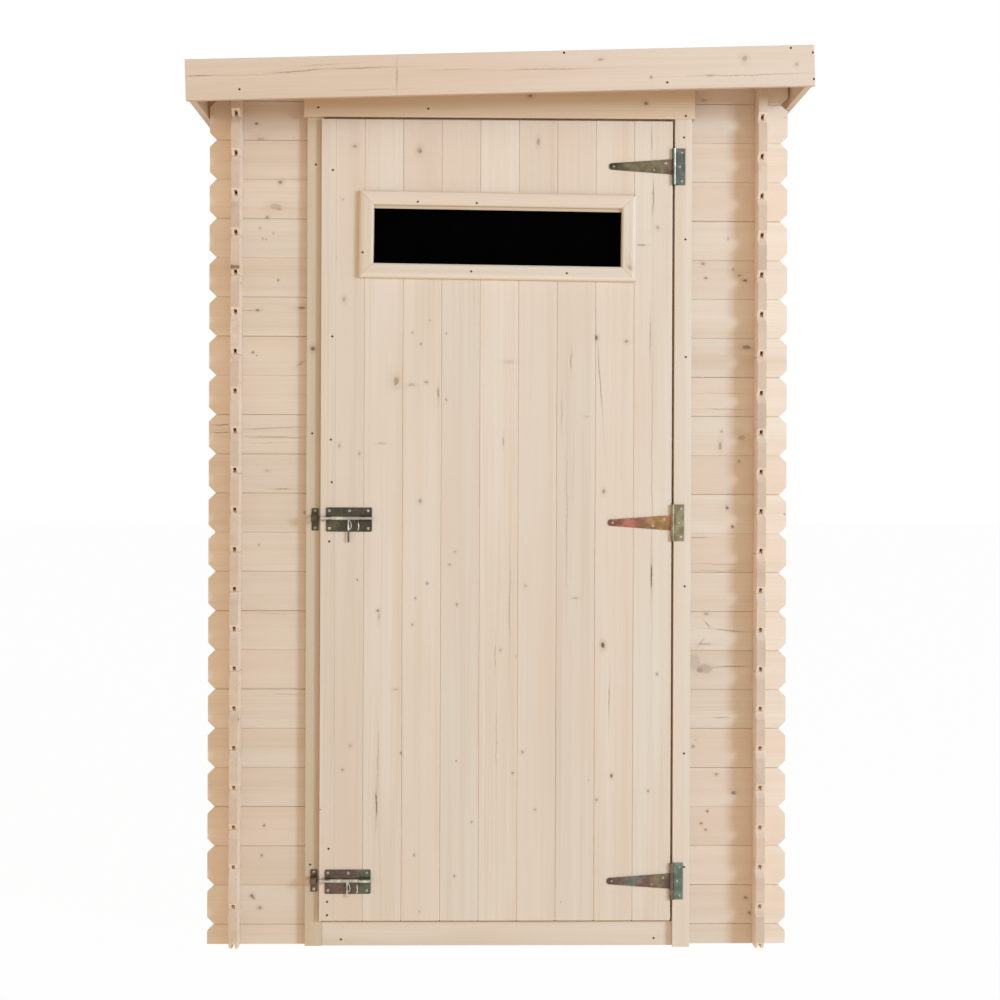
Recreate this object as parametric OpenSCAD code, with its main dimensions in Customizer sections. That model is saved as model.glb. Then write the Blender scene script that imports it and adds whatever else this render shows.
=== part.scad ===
// Garden shed of interlocked boards stood on edge, with one boarded door and a
// roof that falls gently to the left. Millimetres, +Z up, front towards -Y.
// The origin is on the ground, under the middle of the roof.

/* [Walls] */
// Width of the shed over its side walls
body_w = 1190; // [900:10:2400]
// Depth of the shed over its front and back walls
body_d = 850; // [600:10:2000]
// Thickness of a wall log
log_t = 19; // [16:1:28]
// Cover height of a wall log
log_h = 88; // [70:1:120]
// Length of a log end past the crossing wall
log_over = 55; // [40:1:90]
// Size of the 45 degree cut on the corners of a log end
log_cut = 16; // [8:1:20]

/* [Roof] */
// Least height of the roof deck over the header board
eaves_gap = 6; // [5:1:400]
// Fall of the roof towards the left, in degrees
roof_fall = 1.8; // [0:0.1:6]
// Thickness of the roof deck
deck_t = 18; // [12:1:24]
// Thickness of the roofing felt
felt_t = 3; // [2:0.5:5]
// Height of the fascia and barge boards
fascia_h = 88; // [70:1:110]
// Least height of the fascia over the doorway
fascia_clear = 8; // [5:1:20]
// Thickness of the fascia and barge boards
fascia_t = 15; // [10:1:25]
// Distance from a front or back log face to the back of its fascia
roof_over = 169; // [80:1:250]
// Gap between the log ends and the barge boards
barge_gap = 5; // [5:1:20]
// Length of a fascia past the barge boards at each side
fascia_past = 5; // [0:1:20]
// Width of a roof purlin
purlin_w = 40; // [30:1:60]
// Height of a roof purlin
purlin_h = 48; // [30:1:50]
// Distance between the two purlins
purlin_pitch = 520; // [300:10:700]

/* [Doorway] */
// Clear width between the door posts
door_way_w = 784; // [600:1:800]
// Height of the underside of the header board
header_z = 1852; // [1500:1:2300]
// Height of the header board
header_h = 72; // [40:1:120]
// Length of the header board past each door post
header_past = 7; // [0:1:20]
// Width of a door post's outer face
post_w = 38; // [30:1:60]
// How far a door post grips the log ends
post_grip = 18; // [10:1:25]
// Thickness of the closing post's outer face
post_thin = 18; // [12:1:20]
// Thickness of the hinge post's outer face and of the header board
post_thick = 30; // [28:1:36]
// Thickness of a door post's inner face
post_inner = 12; // [8:1:20]
// Height of the sill under the door
sill_h = 54; // [50:1:80]
// How far the sill stands in front of the front wall
sill_proud = 15; // [5:1:18]
// Height of the doorway head in the front wall, below the header board
head_drop = 20; // [12:1:40]

/* [Floor] */
// Thickness of the floor boards
floor_t = 19; // [12:1:28]
// Width of a floor joist
joist_w = 40; // [30:1:60]
// Gap between the floor and the walls
floor_gap = 0.5; // [0.3:0.1:0.9]

/* [Door] */
// Gap round the door leaf
door_gap = 5; // [5:1:8]
// Thickness of the door leaf
leaf_t = 18; // [16:1:22]
// Width of the strip on the door's closing edge
strip_w = 33; // [25:1:50]
// Thickness of that strip
strip_t = 7; // [5:1:7]
// How far the strip laps the closing post
strip_lap = 5; // [3:1:8]
// Width of a ledge across the back of the door
ledge_w = 88; // [60:1:120]
// Thickness of a ledge
ledge_t = 15; // [10:1:20]
// Distance from a ledge's end to the edge of the leaf
ledge_short = 40; // [30:1:80]

/* [Window] */
// Width of the visible window opening
window_w = 553; // [300:1:580]
// Height of the visible window opening
window_h = 130; // [80:1:200]
// Distance from the leaf's upper edge to the window's middle
window_drop = 260; // [230:1:400]
// Sideways place of the window's middle
window_x = -4; // [-20:1:20]
// How far the window frames are turned, in degrees
window_turn = 0.6; // [0:0.1:1]
// Width of a window frame board
frame_w = 32; // [25:1:45]
// Thickness of the outside window frame
frame_t = 15; // [10:1:20]
// Thickness of the inside window frame
inner_frame_t = 10; // [8:1:15]
// Thickness of the pane
pane_t = 4; // [3:1:6]
// How far the frames lap the pane
pane_lap = 10; // [8:1:14]

/* [Hinges] */
// Height of the bottom hinge over the leaf's lower edge
hinge_low = 89; // [80:1:200]
// Depth of the top hinge under the leaf's upper edge
hinge_high = 102; // [80:1:110]
// Drop of the middle hinge below the middle of the leaf
hinge_drop = 4; // [0:1:50]
// Length of a hinge strap
strap_l = 140; // [100:1:200]
// Height of a hinge strap at its knuckle
strap_root = 34; // [24:1:40]
// Height of a hinge strap at its tip
strap_tip = 14; // [10:1:20]
// Height of a hinge plate
plate_h = 82; // [70:1:110]
// Width of a hinge plate
plate_w = 20; // [15:1:24]
// Thickness of the hinge metal
metal_t = 2.5; // [2:0.5:3]
// Radius of a hinge knuckle
knuckle_r = 4.5; // [4:0.5:5.5]
// Radius of a hinge pin
pin_r = 2.45; // [2:0.05:2.6]
// Running clearance of a pin in its knuckle
pin_play = 0.05; // [0.02:0.01:0.1]

/* [Bolts] */
// Height of the lower bolt under the bottom hinge
lower_bolt_drop = 1; // [0:1:30]
// Height of the middle bolt over the middle hinge
middle_bolt_rise = 5; // [0:1:200]
// Distance from the strip's edge to a bolt's base plate
bolt_in = 13; // [10:1:20]
// Length of a bolt's base plate
bolt_l = 102; // [80:1:120]
// Height of a bolt's base plate
bolt_h = 54; // [40:1:60]
// Radius of a bolt's rod
rod_r = 4; // [3:0.5:5]
// Height of a rod over the middle of its base plate
rod_rise = 3; // [0:1:8]
// Travel of a rod from drawn to shot
rod_travel = 21; // [18:1:24]
// Gap between a drawn rod's tip and its keeper
rod_clear = 5; // [5:1:8]
// Gap between a rod and its guides
rod_play = 0.3; // [0.2:0.1:0.8]
// Distance from a rod's tip to its handle
handle_in = 63; // [50:1:70]
// Radius of a bolt's handle
handle_r = 2.5; // [2:0.5:3.5]
// Width of the guide at a bolt's tip
guide_w = 12; // [8:1:16]
// Width of the guide at a bolt's other end
long_guide_w = 26; // [25:1:30]
// Width of a keeper
keeper_w = 15; // [10:1:18]
// Height of a keeper
keeper_h = 50; // [36:1:60]
// Length of the middle bolt's handle below its rod
long_handle = 54; // [30:1:60]
// Length of the lower bolt's handle below its rod
short_handle = 36; // [28:1:60]

/* [Hidden] */
big = 6000; // longer than anything here
wood = "#dcc7ab";
shade = "#cdb596";
steel = "#8f8a6a";

log_len_x = body_w + 2 * log_over;
log_len_y = body_d + 2 * log_over;
board_drop = fascia_h - deck_t; // fascia below the deck's underside
header_w = door_way_w + 2 * (post_w + header_past);
// Height of the deck's underside over the origin: the header board and the fascia
// both stay clear at the low end of the header board
eaves_z = header_z + max(header_h + eaves_gap, board_drop + fascia_clear) + header_w / 2 * tan(roof_fall);
face_y = -body_d / 2; // outer face of the front wall
door_y = face_y - post_thick; // front face of the door leaf
leaf_w = door_way_w - 2 * door_gap;
leaf_z0 = sill_h + door_gap;
leaf_z1 = header_z - door_gap;
window_z = leaf_z1 - window_drop;
head_z = header_z - head_drop; // underside of the wall over the doorway
// The wall over the doorway starts at the highest log joint under the head
top_z = log_h / 2 + log_h * floor((head_z - log_h / 2) / log_h);
logs_up = ceil((eaves_z + body_w) / log_h); // more logs than any wall needs
strip_x0 = -door_way_w / 2 - strip_lap;
barge_x = log_len_x / 2 + barge_gap; // inner face of a barge board
roof_y = body_d / 2 + roof_over; // inner face of a fascia

// Hinges and bolts
hinge_zs = [leaf_z0 + hinge_low, (leaf_z0 + leaf_z1) / 2 - hinge_drop, leaf_z1 - hinge_high];
bolt_zs = [hinge_zs[0] - lower_bolt_drop, hinge_zs[1] + middle_bolt_rise]; // of the base plates
pin_x = door_way_w / 2 - door_gap / 2;
pin_y = door_y - knuckle_r;
knuckle_split = 0.5; // gap between two knuckles along the pin
plate_clear = 1; // gap between a turning knuckle and the plate's edge
case_x0 = strip_x0 + bolt_in;
guide_t = 2; // metal of a guide or keeper
keeper_play = 2; // gap between the rod and its keeper
keeper_clear = 5; // gap between the keeper and the strip
base_t = 2; // metal of a bolt's base plate
rod_y = door_y - base_t - rod_play - rod_r;
keeper_x1 = strip_x0 - keeper_clear;
rod_tip_x = keeper_x1 + rod_clear; // drawn
rod_l = case_x0 + bolt_l - rod_tip_x; // flush with the case when drawn
handle_x = rod_tip_x + handle_in;

// ---- helpers ----

// Puts children in the roof's own frame: z = 0 is the underside of the deck. The roof
// turns about the middle of the fascia, so that it stays over the origin.
module on_roof() {
    mid = (deck_t - board_drop) / 2;
    translate([0, 0, eaves_z + mid]) rotate([0, -roof_fall, 0]) translate([0, 0, -mid]) children();
}

// Everything over the underside of the deck
module over_roof() {
    on_roof() translate([-big / 2, -big / 2, 0]) cube([big, big, big]);
}

// Heights of the joints between logs, where the first log is offset high
function joints(offset, z0, z1) =
    [for (k = [0 : logs_up]) if (offset + k * log_h >= z0 && offset + k * log_h <= z1) offset + k * log_h];

// One end of a stack of logs, seen from the side, from the bottom up: a notch at each joint.
// A cut of 0 is a plain end, and the sign of the cut is the side that it is on.
function end_points(x, cut, zs, z0, z1) =
    let (inner = cut == 0 ? [] : [for (z = zs) if (z > z0 && z < z1) z])
    let (low = cut != 0 && len([for (z = zs) if (z == z0) z]) > 0)
    let (high = cut != 0 && len([for (z = zs) if (z == z1) z]) > 0)
    concat(
        low ? [[x - cut, z0], [x, z0 + abs(cut)]] : [[x, z0]],
        [for (z = inner) each [[x, z - abs(cut)], [x - cut, z], [x, z + abs(cut)]]],
        high ? [[x, z1 - abs(cut)], [x - cut, z1]] : [[x, z1]]
    );

function reversed(list) = [for (i = [len(list) - 1 : -1 : 0]) list[i]];

// A stack of logs along X, with its outer face on the plane y = 0 and facing -Y
module log_panel(x0, x1, cut0, cut1, offset, z0, z1) {
    zs = joints(offset, z0, z1);
    translate([0, log_t, 0]) rotate([90, 0, 0]) linear_extrude(log_t)
        polygon(concat(end_points(x1, cut1, zs, z0, z1), reversed(end_points(x0, -cut0, zs, z0, z1))));
}

// The room that the crossing logs take from a wall, half a log high at each log.
// The first block's middle is at start.
module crossing_blocks(xs, start, z1) {
    for (x = xs, k = [0 : floor((z1 - start) / log_h) + 1])
        translate([x - log_t / 2, -1, start + k * log_h - log_h / 4])
            cube([log_t, log_t + 2, log_h / 2]);
}

corner_xs = [-body_w / 2 + log_t / 2, body_w / 2 - log_t / 2];
corner_ys = [-body_d / 2 + log_t / 2, body_d / 2 - log_t / 2];

module front_panel(x0, x1, cut0, cut1, z0, z1) {
    translate([0, face_y, 0]) difference() {
        log_panel(x0, x1, cut0, cut1, log_h / 2, z0, z1);
        crossing_blocks(corner_xs, log_h / 2, z1);
    }
}

// ---- walls ----

module front_wall_left() {
    color(wood) front_panel(-log_len_x / 2, -door_way_w / 2 - post_grip, log_cut, 0, 0, top_z);
}

module front_wall_right() {
    color(wood) front_panel(door_way_w / 2 + post_grip, log_len_x / 2, 0, log_cut, 0, top_z);
}

module front_wall_top() {
    color(wood) difference() {
        front_panel(-log_len_x / 2, log_len_x / 2, log_cut, log_cut, top_z, eaves_z + log_h);
        over_roof();
        translate([-door_way_w / 2 - post_grip, face_y - 1, top_z - 1])
            cube([door_way_w + 2 * post_grip, log_t + 2, head_z - top_z + 1]);
    }
}

module back_wall() {
    color(wood) difference() {
        rotate([0, 0, 180]) front_panel(-log_len_x / 2, log_len_x / 2, log_cut, log_cut, 0, eaves_z + log_h);
        over_roof();
    }
}

// A side wall's logs start with a whole log, half a log away from the front's
module side_wall(turn) {
    color(wood) difference() {
        rotate([0, 0, turn]) translate([0, -body_w / 2, 0]) difference() {
            log_panel(-log_len_y / 2, log_len_y / 2, log_cut, log_cut, 0, 0, eaves_z + log_h);
            crossing_blocks(corner_ys, 0, eaves_z + log_h);
        }
        over_roof();
    }
}

module left_wall() { side_wall(-90); }
module right_wall() { side_wall(90); }

// ---- doorway ----

module front_sill() {
    color(shade) translate([-door_way_w / 2, face_y - sill_proud, 0])
        cube([door_way_w, sill_proud + log_t + post_inner, sill_h]);
}

// A post that grips the log ends: side is -1 on the left and 1 on the right
module door_post(side, outer_t) {
    x = door_way_w / 2;
    color(shade) mirror([side < 0 ? 1 : 0, 0, 0]) {
        difference() {
            translate([x, face_y - outer_t, 0]) cube([post_w, outer_t + log_t + post_inner, header_z]);
            translate([x + post_grip, face_y, -1]) cube([post_w, log_t, header_z + 2]);
            translate([x - 1, face_y, head_z]) cube([post_w + 2, log_t + post_inner + 1, header_z]);
        }
    }
}

module closing_post() { door_post(-1, post_thin); }
module hinge_post() { door_post(1, post_thick); }

module door_header() {
    color(wood) translate([-header_w / 2, face_y - post_thick, header_z])
        cube([header_w, post_thick, header_h]);
}

// ---- floor ----

module floor_joists() {
    in_w = body_w - 2 * log_t - 2 * floor_gap;
    in_d = body_d - 2 * log_t - 2 * (floor_gap + post_inner);
    color(shade) for (k = [-1, 0, 1])
        translate([-in_w / 2, k * (in_d - joist_w) / 2 - joist_w / 2, 0])
            cube([in_w, joist_w, sill_h - floor_t]);
}

module floor_boards() {
    in_w = body_w - 2 * log_t - 2 * floor_gap;
    in_d = body_d - 2 * log_t - 2 * (floor_gap + post_inner);
    color(wood) translate([-in_w / 2, -in_d / 2, sill_h - floor_t]) cube([in_w, in_d, floor_t]);
}

// ---- roof ----

// Two bars between the front wall and the back wall
module roof_purlins() {
    l = body_d - 2 * log_t;
    color(shade) for (side = [-1, 1])
        on_roof() translate([side * purlin_pitch / 2 - purlin_w / 2, -l / 2, -purlin_h])
            cube([purlin_w, l, purlin_h]);
}

module roof_deck() {
    color(wood) on_roof() translate([-barge_x, -roof_y, 0]) cube([2 * barge_x, 2 * roof_y, deck_t]);
}

module roof_felt() {
    w = barge_x + fascia_t;
    d = roof_y + fascia_t;
    color("#4a4d4c") on_roof() translate([-w, -d, deck_t]) cube([2 * w, 2 * d, felt_t]);
}

module fascia() {
    w = barge_x + fascia_t + fascia_past;
    color(wood) on_roof() translate([-w, -roof_y - fascia_t, -board_drop]) cube([2 * w, fascia_t, fascia_h]);
}

module front_fascia() { fascia(); }
module back_fascia() { mirror([0, 1, 0]) fascia(); }

module barge(x) {
    color(wood) on_roof() translate([x, -roof_y, -board_drop]) cube([fascia_t, 2 * roof_y, fascia_h]);
}

module left_barge() { barge(-barge_x - fascia_t); }
module right_barge() { barge(barge_x); }

// ---- door ----

module door_leaf() {
    color(wood) difference() {
        translate([-leaf_w / 2, door_y, leaf_z0]) cube([leaf_w, leaf_t, leaf_z1 - leaf_z0]);
        translate([window_x, door_y - 1, window_z]) rotate([0, window_turn, 0])
            translate([-window_w / 2, 0, -window_h / 2]) cube([window_w, leaf_t, window_h]);
        pane_box(pane_t + 1);
        translate([strip_x0, door_y - 1, leaf_z0 - 1]) cube([strip_w, strip_t + 1, leaf_z1 - leaf_z0 + 2]);
    }
}

module door_strip() {
    color(wood) translate([strip_x0, door_y, leaf_z0]) cube([strip_w, strip_t, leaf_z1 - leaf_z0]);
}

module door_ledges() {
    w = leaf_w - 2 * ledge_short;
    color(shade) for (z = hinge_zs)
        translate([-w / 2, door_y + leaf_t, z - ledge_w / 2]) cube([w, ledge_t, ledge_w]);
}

// A frame of four boards, with its front at y = 0
module window_frame(t) {
    color(wood) translate([window_x, 0, window_z]) rotate([0, window_turn, 0]) difference() {
        translate([-window_w / 2 - frame_w, 0, -window_h / 2 - frame_w])
            cube([window_w + 2 * frame_w, t, window_h + 2 * frame_w]);
        translate([-window_w / 2, -1, -window_h / 2]) cube([window_w, t + 2, window_h]);
    }
}

module window_frame_outside() { translate([0, door_y - frame_t, 0]) window_frame(frame_t); }
module window_frame_inside() { translate([0, door_y + leaf_t, 0]) window_frame(inner_frame_t); }

// the pane lies in a rebate at the back of the leaf
module pane_box(t) {
    w = window_w + 2 * pane_lap;
    h = window_h + 2 * pane_lap;
    translate([window_x - w / 2, door_y + leaf_t - pane_t, window_z - h / 2]) cube([w, t, h]);
}

module window_pane() { color("#101214") pane_box(pane_t); }

// ---- hinges ----

// Upright knuckle round the pin, from z0 to z1
module knuckle(z0, z1) {
    translate([pin_x, pin_y, z0]) cylinder(r = knuckle_r, h = z1 - z0, $fn = 32);
}

module hinge_plate(z) {
    edge = pin_x + knuckle_r + plate_clear;
    step = strap_root / 2 + knuckle_split;
    color(steel) translate([0, 0, z]) {
        translate([edge, door_y - metal_t, -plate_h / 2]) cube([plate_w, metal_t, plate_h]);
        for (side = [-1, 1]) {
            low = side > 0 ? step : -plate_h / 2;
            high = side > 0 ? plate_h / 2 : -step;
            knuckle(low, high);
            translate([pin_x, door_y - metal_t, low]) cube([edge + 1 - pin_x, metal_t, high - low]);
        }
        translate([pin_x, pin_y, -plate_h / 2]) cylinder(r = pin_r, h = plate_h, $fn = 32);
    }
}

module hinge_strap(z) {
    root_x = pin_x - knuckle_r;
    color(steel) translate([0, 0, z]) difference() {
        union() {
            translate([0, door_y, 0]) rotate([90, 0, 0]) linear_extrude(metal_t) polygon([
                [root_x - strap_l + strap_tip / 4, -strap_tip / 2], [root_x + 2, -strap_root / 2],
                [root_x + 2, strap_root / 2], [root_x - strap_l + strap_tip / 4, strap_tip / 2],
                [root_x - strap_l, strap_tip / 4], [root_x - strap_l, -strap_tip / 4]
            ]);
            knuckle(-strap_root / 2, strap_root / 2);
        }
        translate([pin_x, pin_y, -plate_h]) cylinder(r = pin_r + pin_play, h = 2 * plate_h, $fn = 32);
    }
}

module bottom_hinge_plate() { hinge_plate(hinge_zs[0]); }
module middle_hinge_plate() { hinge_plate(hinge_zs[1]); }
module top_hinge_plate() { hinge_plate(hinge_zs[2]); }
module bottom_hinge_strap() { hinge_strap(hinge_zs[0]); }
module middle_hinge_strap() { hinge_strap(hinge_zs[1]); }
module top_hinge_strap() { hinge_strap(hinge_zs[2]); }

// ---- bolts ----

// A square-shouldered staple round the rod: width w along X, gap all round the rod,
// standing on the plane y = base
module staple(x, w, gap, base) {
    half = rod_r + gap;
    top = rod_y - half;
    translate([0, 0, rod_rise]) difference() {
        translate([x, top - guide_t, -half - guide_t]) cube([w, base - top + guide_t, 2 * (half + guide_t)]);
        translate([x - 1, top, -half]) cube([w + 2, base - top + 1, 2 * half]);
    }
}

module bolt_case(z) {
    color(steel) translate([0, 0, z]) {
        translate([case_x0, door_y - base_t, -bolt_h / 2]) cube([bolt_l, base_t, bolt_h]);
        staple(case_x0, guide_w, rod_play, door_y - base_t / 2);
        staple(case_x0 + bolt_l - long_guide_w, long_guide_w, rod_play, door_y - base_t / 2);
    }
}

module keeper(z) {
    base = face_y - post_thin;
    color(steel) translate([0, 0, z]) {
        translate([keeper_x1 - keeper_w, base - base_t, -keeper_h / 2]) cube([keeper_w, base_t, keeper_h]);
        staple(keeper_x1 - keeper_w, keeper_w, keeper_play, base - base_t / 2);
    }
}

module bolt_rod(z, handle_l) {
    color("#b9b08a") translate([0, rod_y, z + rod_rise]) {
        translate([rod_tip_x, 0, 0]) rotate([0, 90, 0]) cylinder(r = rod_r, h = rod_l, $fn = 32);
        translate([handle_x, 0, -handle_l]) cylinder(r = handle_r, h = handle_l, $fn = 24);
    }
}

module lower_bolt_case() { bolt_case(bolt_zs[0]); }
module middle_bolt_case() { bolt_case(bolt_zs[1]); }
module lower_keeper() { keeper(bolt_zs[0]); }
module middle_keeper() { keeper(bolt_zs[1]); }
module lower_bolt_rod() { bolt_rod(bolt_zs[0], short_handle); }
module middle_bolt_rod() { bolt_rod(bolt_zs[1], long_handle); }

front_wall_left();
front_wall_right();
front_wall_top();
back_wall();
left_wall();
right_wall();
front_sill();
closing_post();
hinge_post();
door_header();
floor_joists();
floor_boards();
roof_purlins();
roof_deck();
roof_felt();
front_fascia();
back_fascia();
left_barge();
right_barge();
door_leaf();
door_strip();
door_ledges();
window_frame_outside();
window_frame_inside();
window_pane();
top_hinge_plate();
middle_hinge_plate();
bottom_hinge_plate();
top_hinge_strap();
middle_hinge_strap();
bottom_hinge_strap();
middle_bolt_case();
lower_bolt_case();
middle_bolt_rod();
lower_bolt_rod();
middle_keeper();
lower_keeper();
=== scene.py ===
"""Looks of a small garden shed: boards, fittings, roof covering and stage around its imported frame."""

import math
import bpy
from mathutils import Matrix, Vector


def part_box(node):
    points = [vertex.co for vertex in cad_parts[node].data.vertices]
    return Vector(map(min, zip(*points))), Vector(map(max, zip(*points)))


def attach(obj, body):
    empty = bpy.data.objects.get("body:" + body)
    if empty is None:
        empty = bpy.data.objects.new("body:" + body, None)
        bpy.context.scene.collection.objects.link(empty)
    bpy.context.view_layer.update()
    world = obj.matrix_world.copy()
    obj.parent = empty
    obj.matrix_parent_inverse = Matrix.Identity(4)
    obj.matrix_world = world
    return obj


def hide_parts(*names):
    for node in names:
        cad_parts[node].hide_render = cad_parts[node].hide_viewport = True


bl_info = {
    "name": "Garden shed looks",
    "version": (1, 0, 0),
    "blender": (4, 5, 0),
    "location": "3D View > Sidebar > Shed",
    "description": "Builds the boards, fittings, roof covering and stage of a small garden shed",
    "category": "Object",
}

import bmesh
import bpy
import numpy as np
from bpy.props import FloatProperty, FloatVectorProperty, IntProperty, PointerProperty
from mathutils import Matrix, Vector

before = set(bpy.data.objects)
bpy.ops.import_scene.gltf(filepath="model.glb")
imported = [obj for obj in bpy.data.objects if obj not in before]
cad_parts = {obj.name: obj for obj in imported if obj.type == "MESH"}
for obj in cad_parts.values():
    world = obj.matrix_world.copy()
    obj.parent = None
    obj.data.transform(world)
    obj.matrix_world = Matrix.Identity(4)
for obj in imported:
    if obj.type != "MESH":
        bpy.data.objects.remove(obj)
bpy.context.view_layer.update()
UP = Vector((0, 0, 1))
FRONT = Vector((0, -1, 0))
LEFT = Vector((-1, 0, 0))
RIGHT = Vector((1, 0, 0))
WHITE = (1.0, 1.0, 1.0)
HINGES = ("top", "middle", "bottom")
BOLTS = ("middle", "lower")

# Small sizes in metres that the shapes share
SHEET = 0.002
SKIN = 0.00005
PAST = 0.01
BOARD_SEAM = 0.00012
BOARD_SLACK = 0.0001
LOG_SEAM = 0.0003
MITRE_GAP = 0.00015
FELT_LIFT = 0.0001
# The rounded outer edge of a window frame, as distances in from the edge and back from the face
SHOULDER = ((0, 0.0072), (0.0012, 0.0050), (0.0035, 0.0022), (0.0070, 0.0006), (0.0105, 0))
# The wire of a bolt's eye, from its foot on the plate, and the loop beside a rod's handle, from the
# handle's root
EYE_STEPS = (
    (0, 0, -0.007),
    (0, -0.004, -0.008),
    (0.0006, -0.008, -0.012),
    (0.0012, -0.0085, -0.020),
    (-0.0004, -0.007, -0.026),
    (-0.0010, -0.001, -0.0245),
)
LOOP_STEPS = (
    (0.0010, -0.0010, -0.003),
    (0.0045, -0.0022, -0.008),
    (0.0066, -0.0025, -0.015),
    (0.0058, -0.0020, -0.021),
    (0.0020, -0.0010, -0.0245),
)


# ---- sizes and colours that a user would change ----


class ShedWood(bpy.types.PropertyGroup):
    """Sizes of the boards and colours of the wood"""

    log_height: FloatProperty(
        name="Log height", description="Cover height of a wall log", default=0.088, unit="LENGTH"
    )
    end_cut: FloatProperty(
        name="End cut", description="Size of the slanted cuts on a log's end", default=0.016, unit="LENGTH"
    )
    tongue: FloatProperty(
        name="Tongue", description="Width of a log's tongue", default=0.006, unit="LENGTH"
    )
    arris: FloatProperty(
        name="Arris", description="Bevel along the edges of a log", default=0.0012, unit="LENGTH"
    )
    ease: FloatProperty(
        name="Ease", description="Rounding of the edges of planed trim", default=0.0012, unit="LENGTH"
    )
    door_boards: IntProperty(name="Door boards", description="Upright boards in the door", default=9)
    door_vee: FloatProperty(
        name="Door vee", description="Chamfer at the door boards' joints", default=0.0014, unit="LENGTH"
    )
    deck_board: FloatProperty(
        name="Deck board", description="Cover width of a deck board", default=0.0965, unit="LENGTH"
    )
    pale: FloatVectorProperty(
        name="Pale wood",
        description="Early wood of the spruce",
        subtype="COLOR",
        default=(0.76, 0.625, 0.51),
    )
    deep: FloatVectorProperty(
        name="Deep wood", description="Late wood of the spruce", subtype="COLOR", default=(0.62, 0.44, 0.29)
    )
    blush: FloatVectorProperty(
        name="Blush", description="Warmer patches of spruce", subtype="COLOR", default=(0.74, 0.55, 0.42)
    )
    knot: FloatVectorProperty(
        name="Knot", description="Heart of a knot", subtype="COLOR", default=(0.20, 0.12, 0.065)
    )


class ShedDoor(bpy.types.PropertyGroup):
    """Sizes round the doorway and the window"""

    head_drop: FloatProperty(
        name="Head drop", description="Doorway head below the header board", default=0.020, unit="LENGTH"
    )
    frame_board: FloatProperty(
        name="Frame board", description="Width of a window frame board", default=0.032, unit="LENGTH"
    )
    bead: FloatProperty(
        name="Bead", description="Height of the bead over the pane", default=0.007, unit="LENGTH"
    )
    frame_turn: FloatProperty(
        name="Frame turn",
        description="How far the frames are turned",
        default=math.radians(0.6),
        subtype="ANGLE",
    )
    nail_proud: FloatProperty(
        name="Nail proud", description="How far a nail's head stands proud", default=0.00035, unit="LENGTH"
    )


class ShedMetal(bpy.types.PropertyGroup):
    """Colours and sizes of the fittings"""

    olive: FloatVectorProperty(
        name="Olive", description="Main tone of the zinc", subtype="COLOR", default=(0.235, 0.18, 0.095)
    )
    green: FloatVectorProperty(
        name="Green", description="Green tone of the zinc", subtype="COLOR", default=(0.185, 0.25, 0.165)
    )
    slate: FloatVectorProperty(
        name="Slate", description="Grey-green tone of zinc", subtype="COLOR", default=(0.165, 0.17, 0.13)
    )
    rose: FloatVectorProperty(
        name="Rose", description="Rose tone of the zinc", subtype="COLOR", default=(0.47, 0.17, 0.11)
    )
    gold: FloatVectorProperty(
        name="Gold", description="Gold tone of the zinc", subtype="COLOR", default=(0.46, 0.26, 0.07)
    )
    brown: FloatVectorProperty(
        name="Brown", description="Brown tone of the zinc", subtype="COLOR", default=(0.17, 0.10, 0.07)
    )
    dark: FloatVectorProperty(
        name="Dark", description="Darkest tone of the zinc", subtype="COLOR", default=(0.065, 0.06, 0.035)
    )
    # bare zinc, also a painted highlight on rods, handles, eyes, barrel crests and screw heads
    bright: FloatVectorProperty(
        name="Bright", description="Bright bare zinc", subtype="COLOR", default=(0.68, 0.62, 0.50)
    )
    screw_head: FloatProperty(
        name="Screw head", description="Radius of a screw's head", default=0.0031, unit="LENGTH"
    )
    nail_head: FloatProperty(
        name="Nail head", description="Radius of a nail's head", default=0.0027, unit="LENGTH"
    )
    clout_head: FloatProperty(
        name="Clout head", description="Radius of a clout nail's head", default=0.005, unit="LENGTH"
    )
    wire: FloatProperty(
        name="Wire", description="Radius of the wire of a bolt's eye", default=0.0013, unit="LENGTH"
    )
    knuckle: FloatProperty(
        name="Knuckle", description="Width of a hinge's knuckle", default=0.0092, unit="LENGTH"
    )
    handle_in: FloatProperty(
        name="Handle in", description="From a rod's tip to its handle", default=0.063, unit="LENGTH"
    )


class ShedRoof(bpy.types.PropertyGroup):
    """Colours and sizes of the roofing felt"""

    felt: FloatVectorProperty(
        name="Felt", description="Mineral grain of the felt", subtype="COLOR", default=(0.075, 0.085, 0.08)
    )
    strips: IntProperty(name="Strips", description="Strips of felt over the roof", default=2)
    lap: FloatProperty(
        name="Lap", description="Width of the lap between strips", default=0.08, unit="LENGTH"
    )
    inset: FloatProperty(
        name="Inset", description="Bare fascia in front of the felt", default=0.016, unit="LENGTH"
    )
    clout_gap: FloatProperty(
        name="Clout gap", description="Distance between clout nails", default=0.15, unit="LENGTH"
    )


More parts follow.
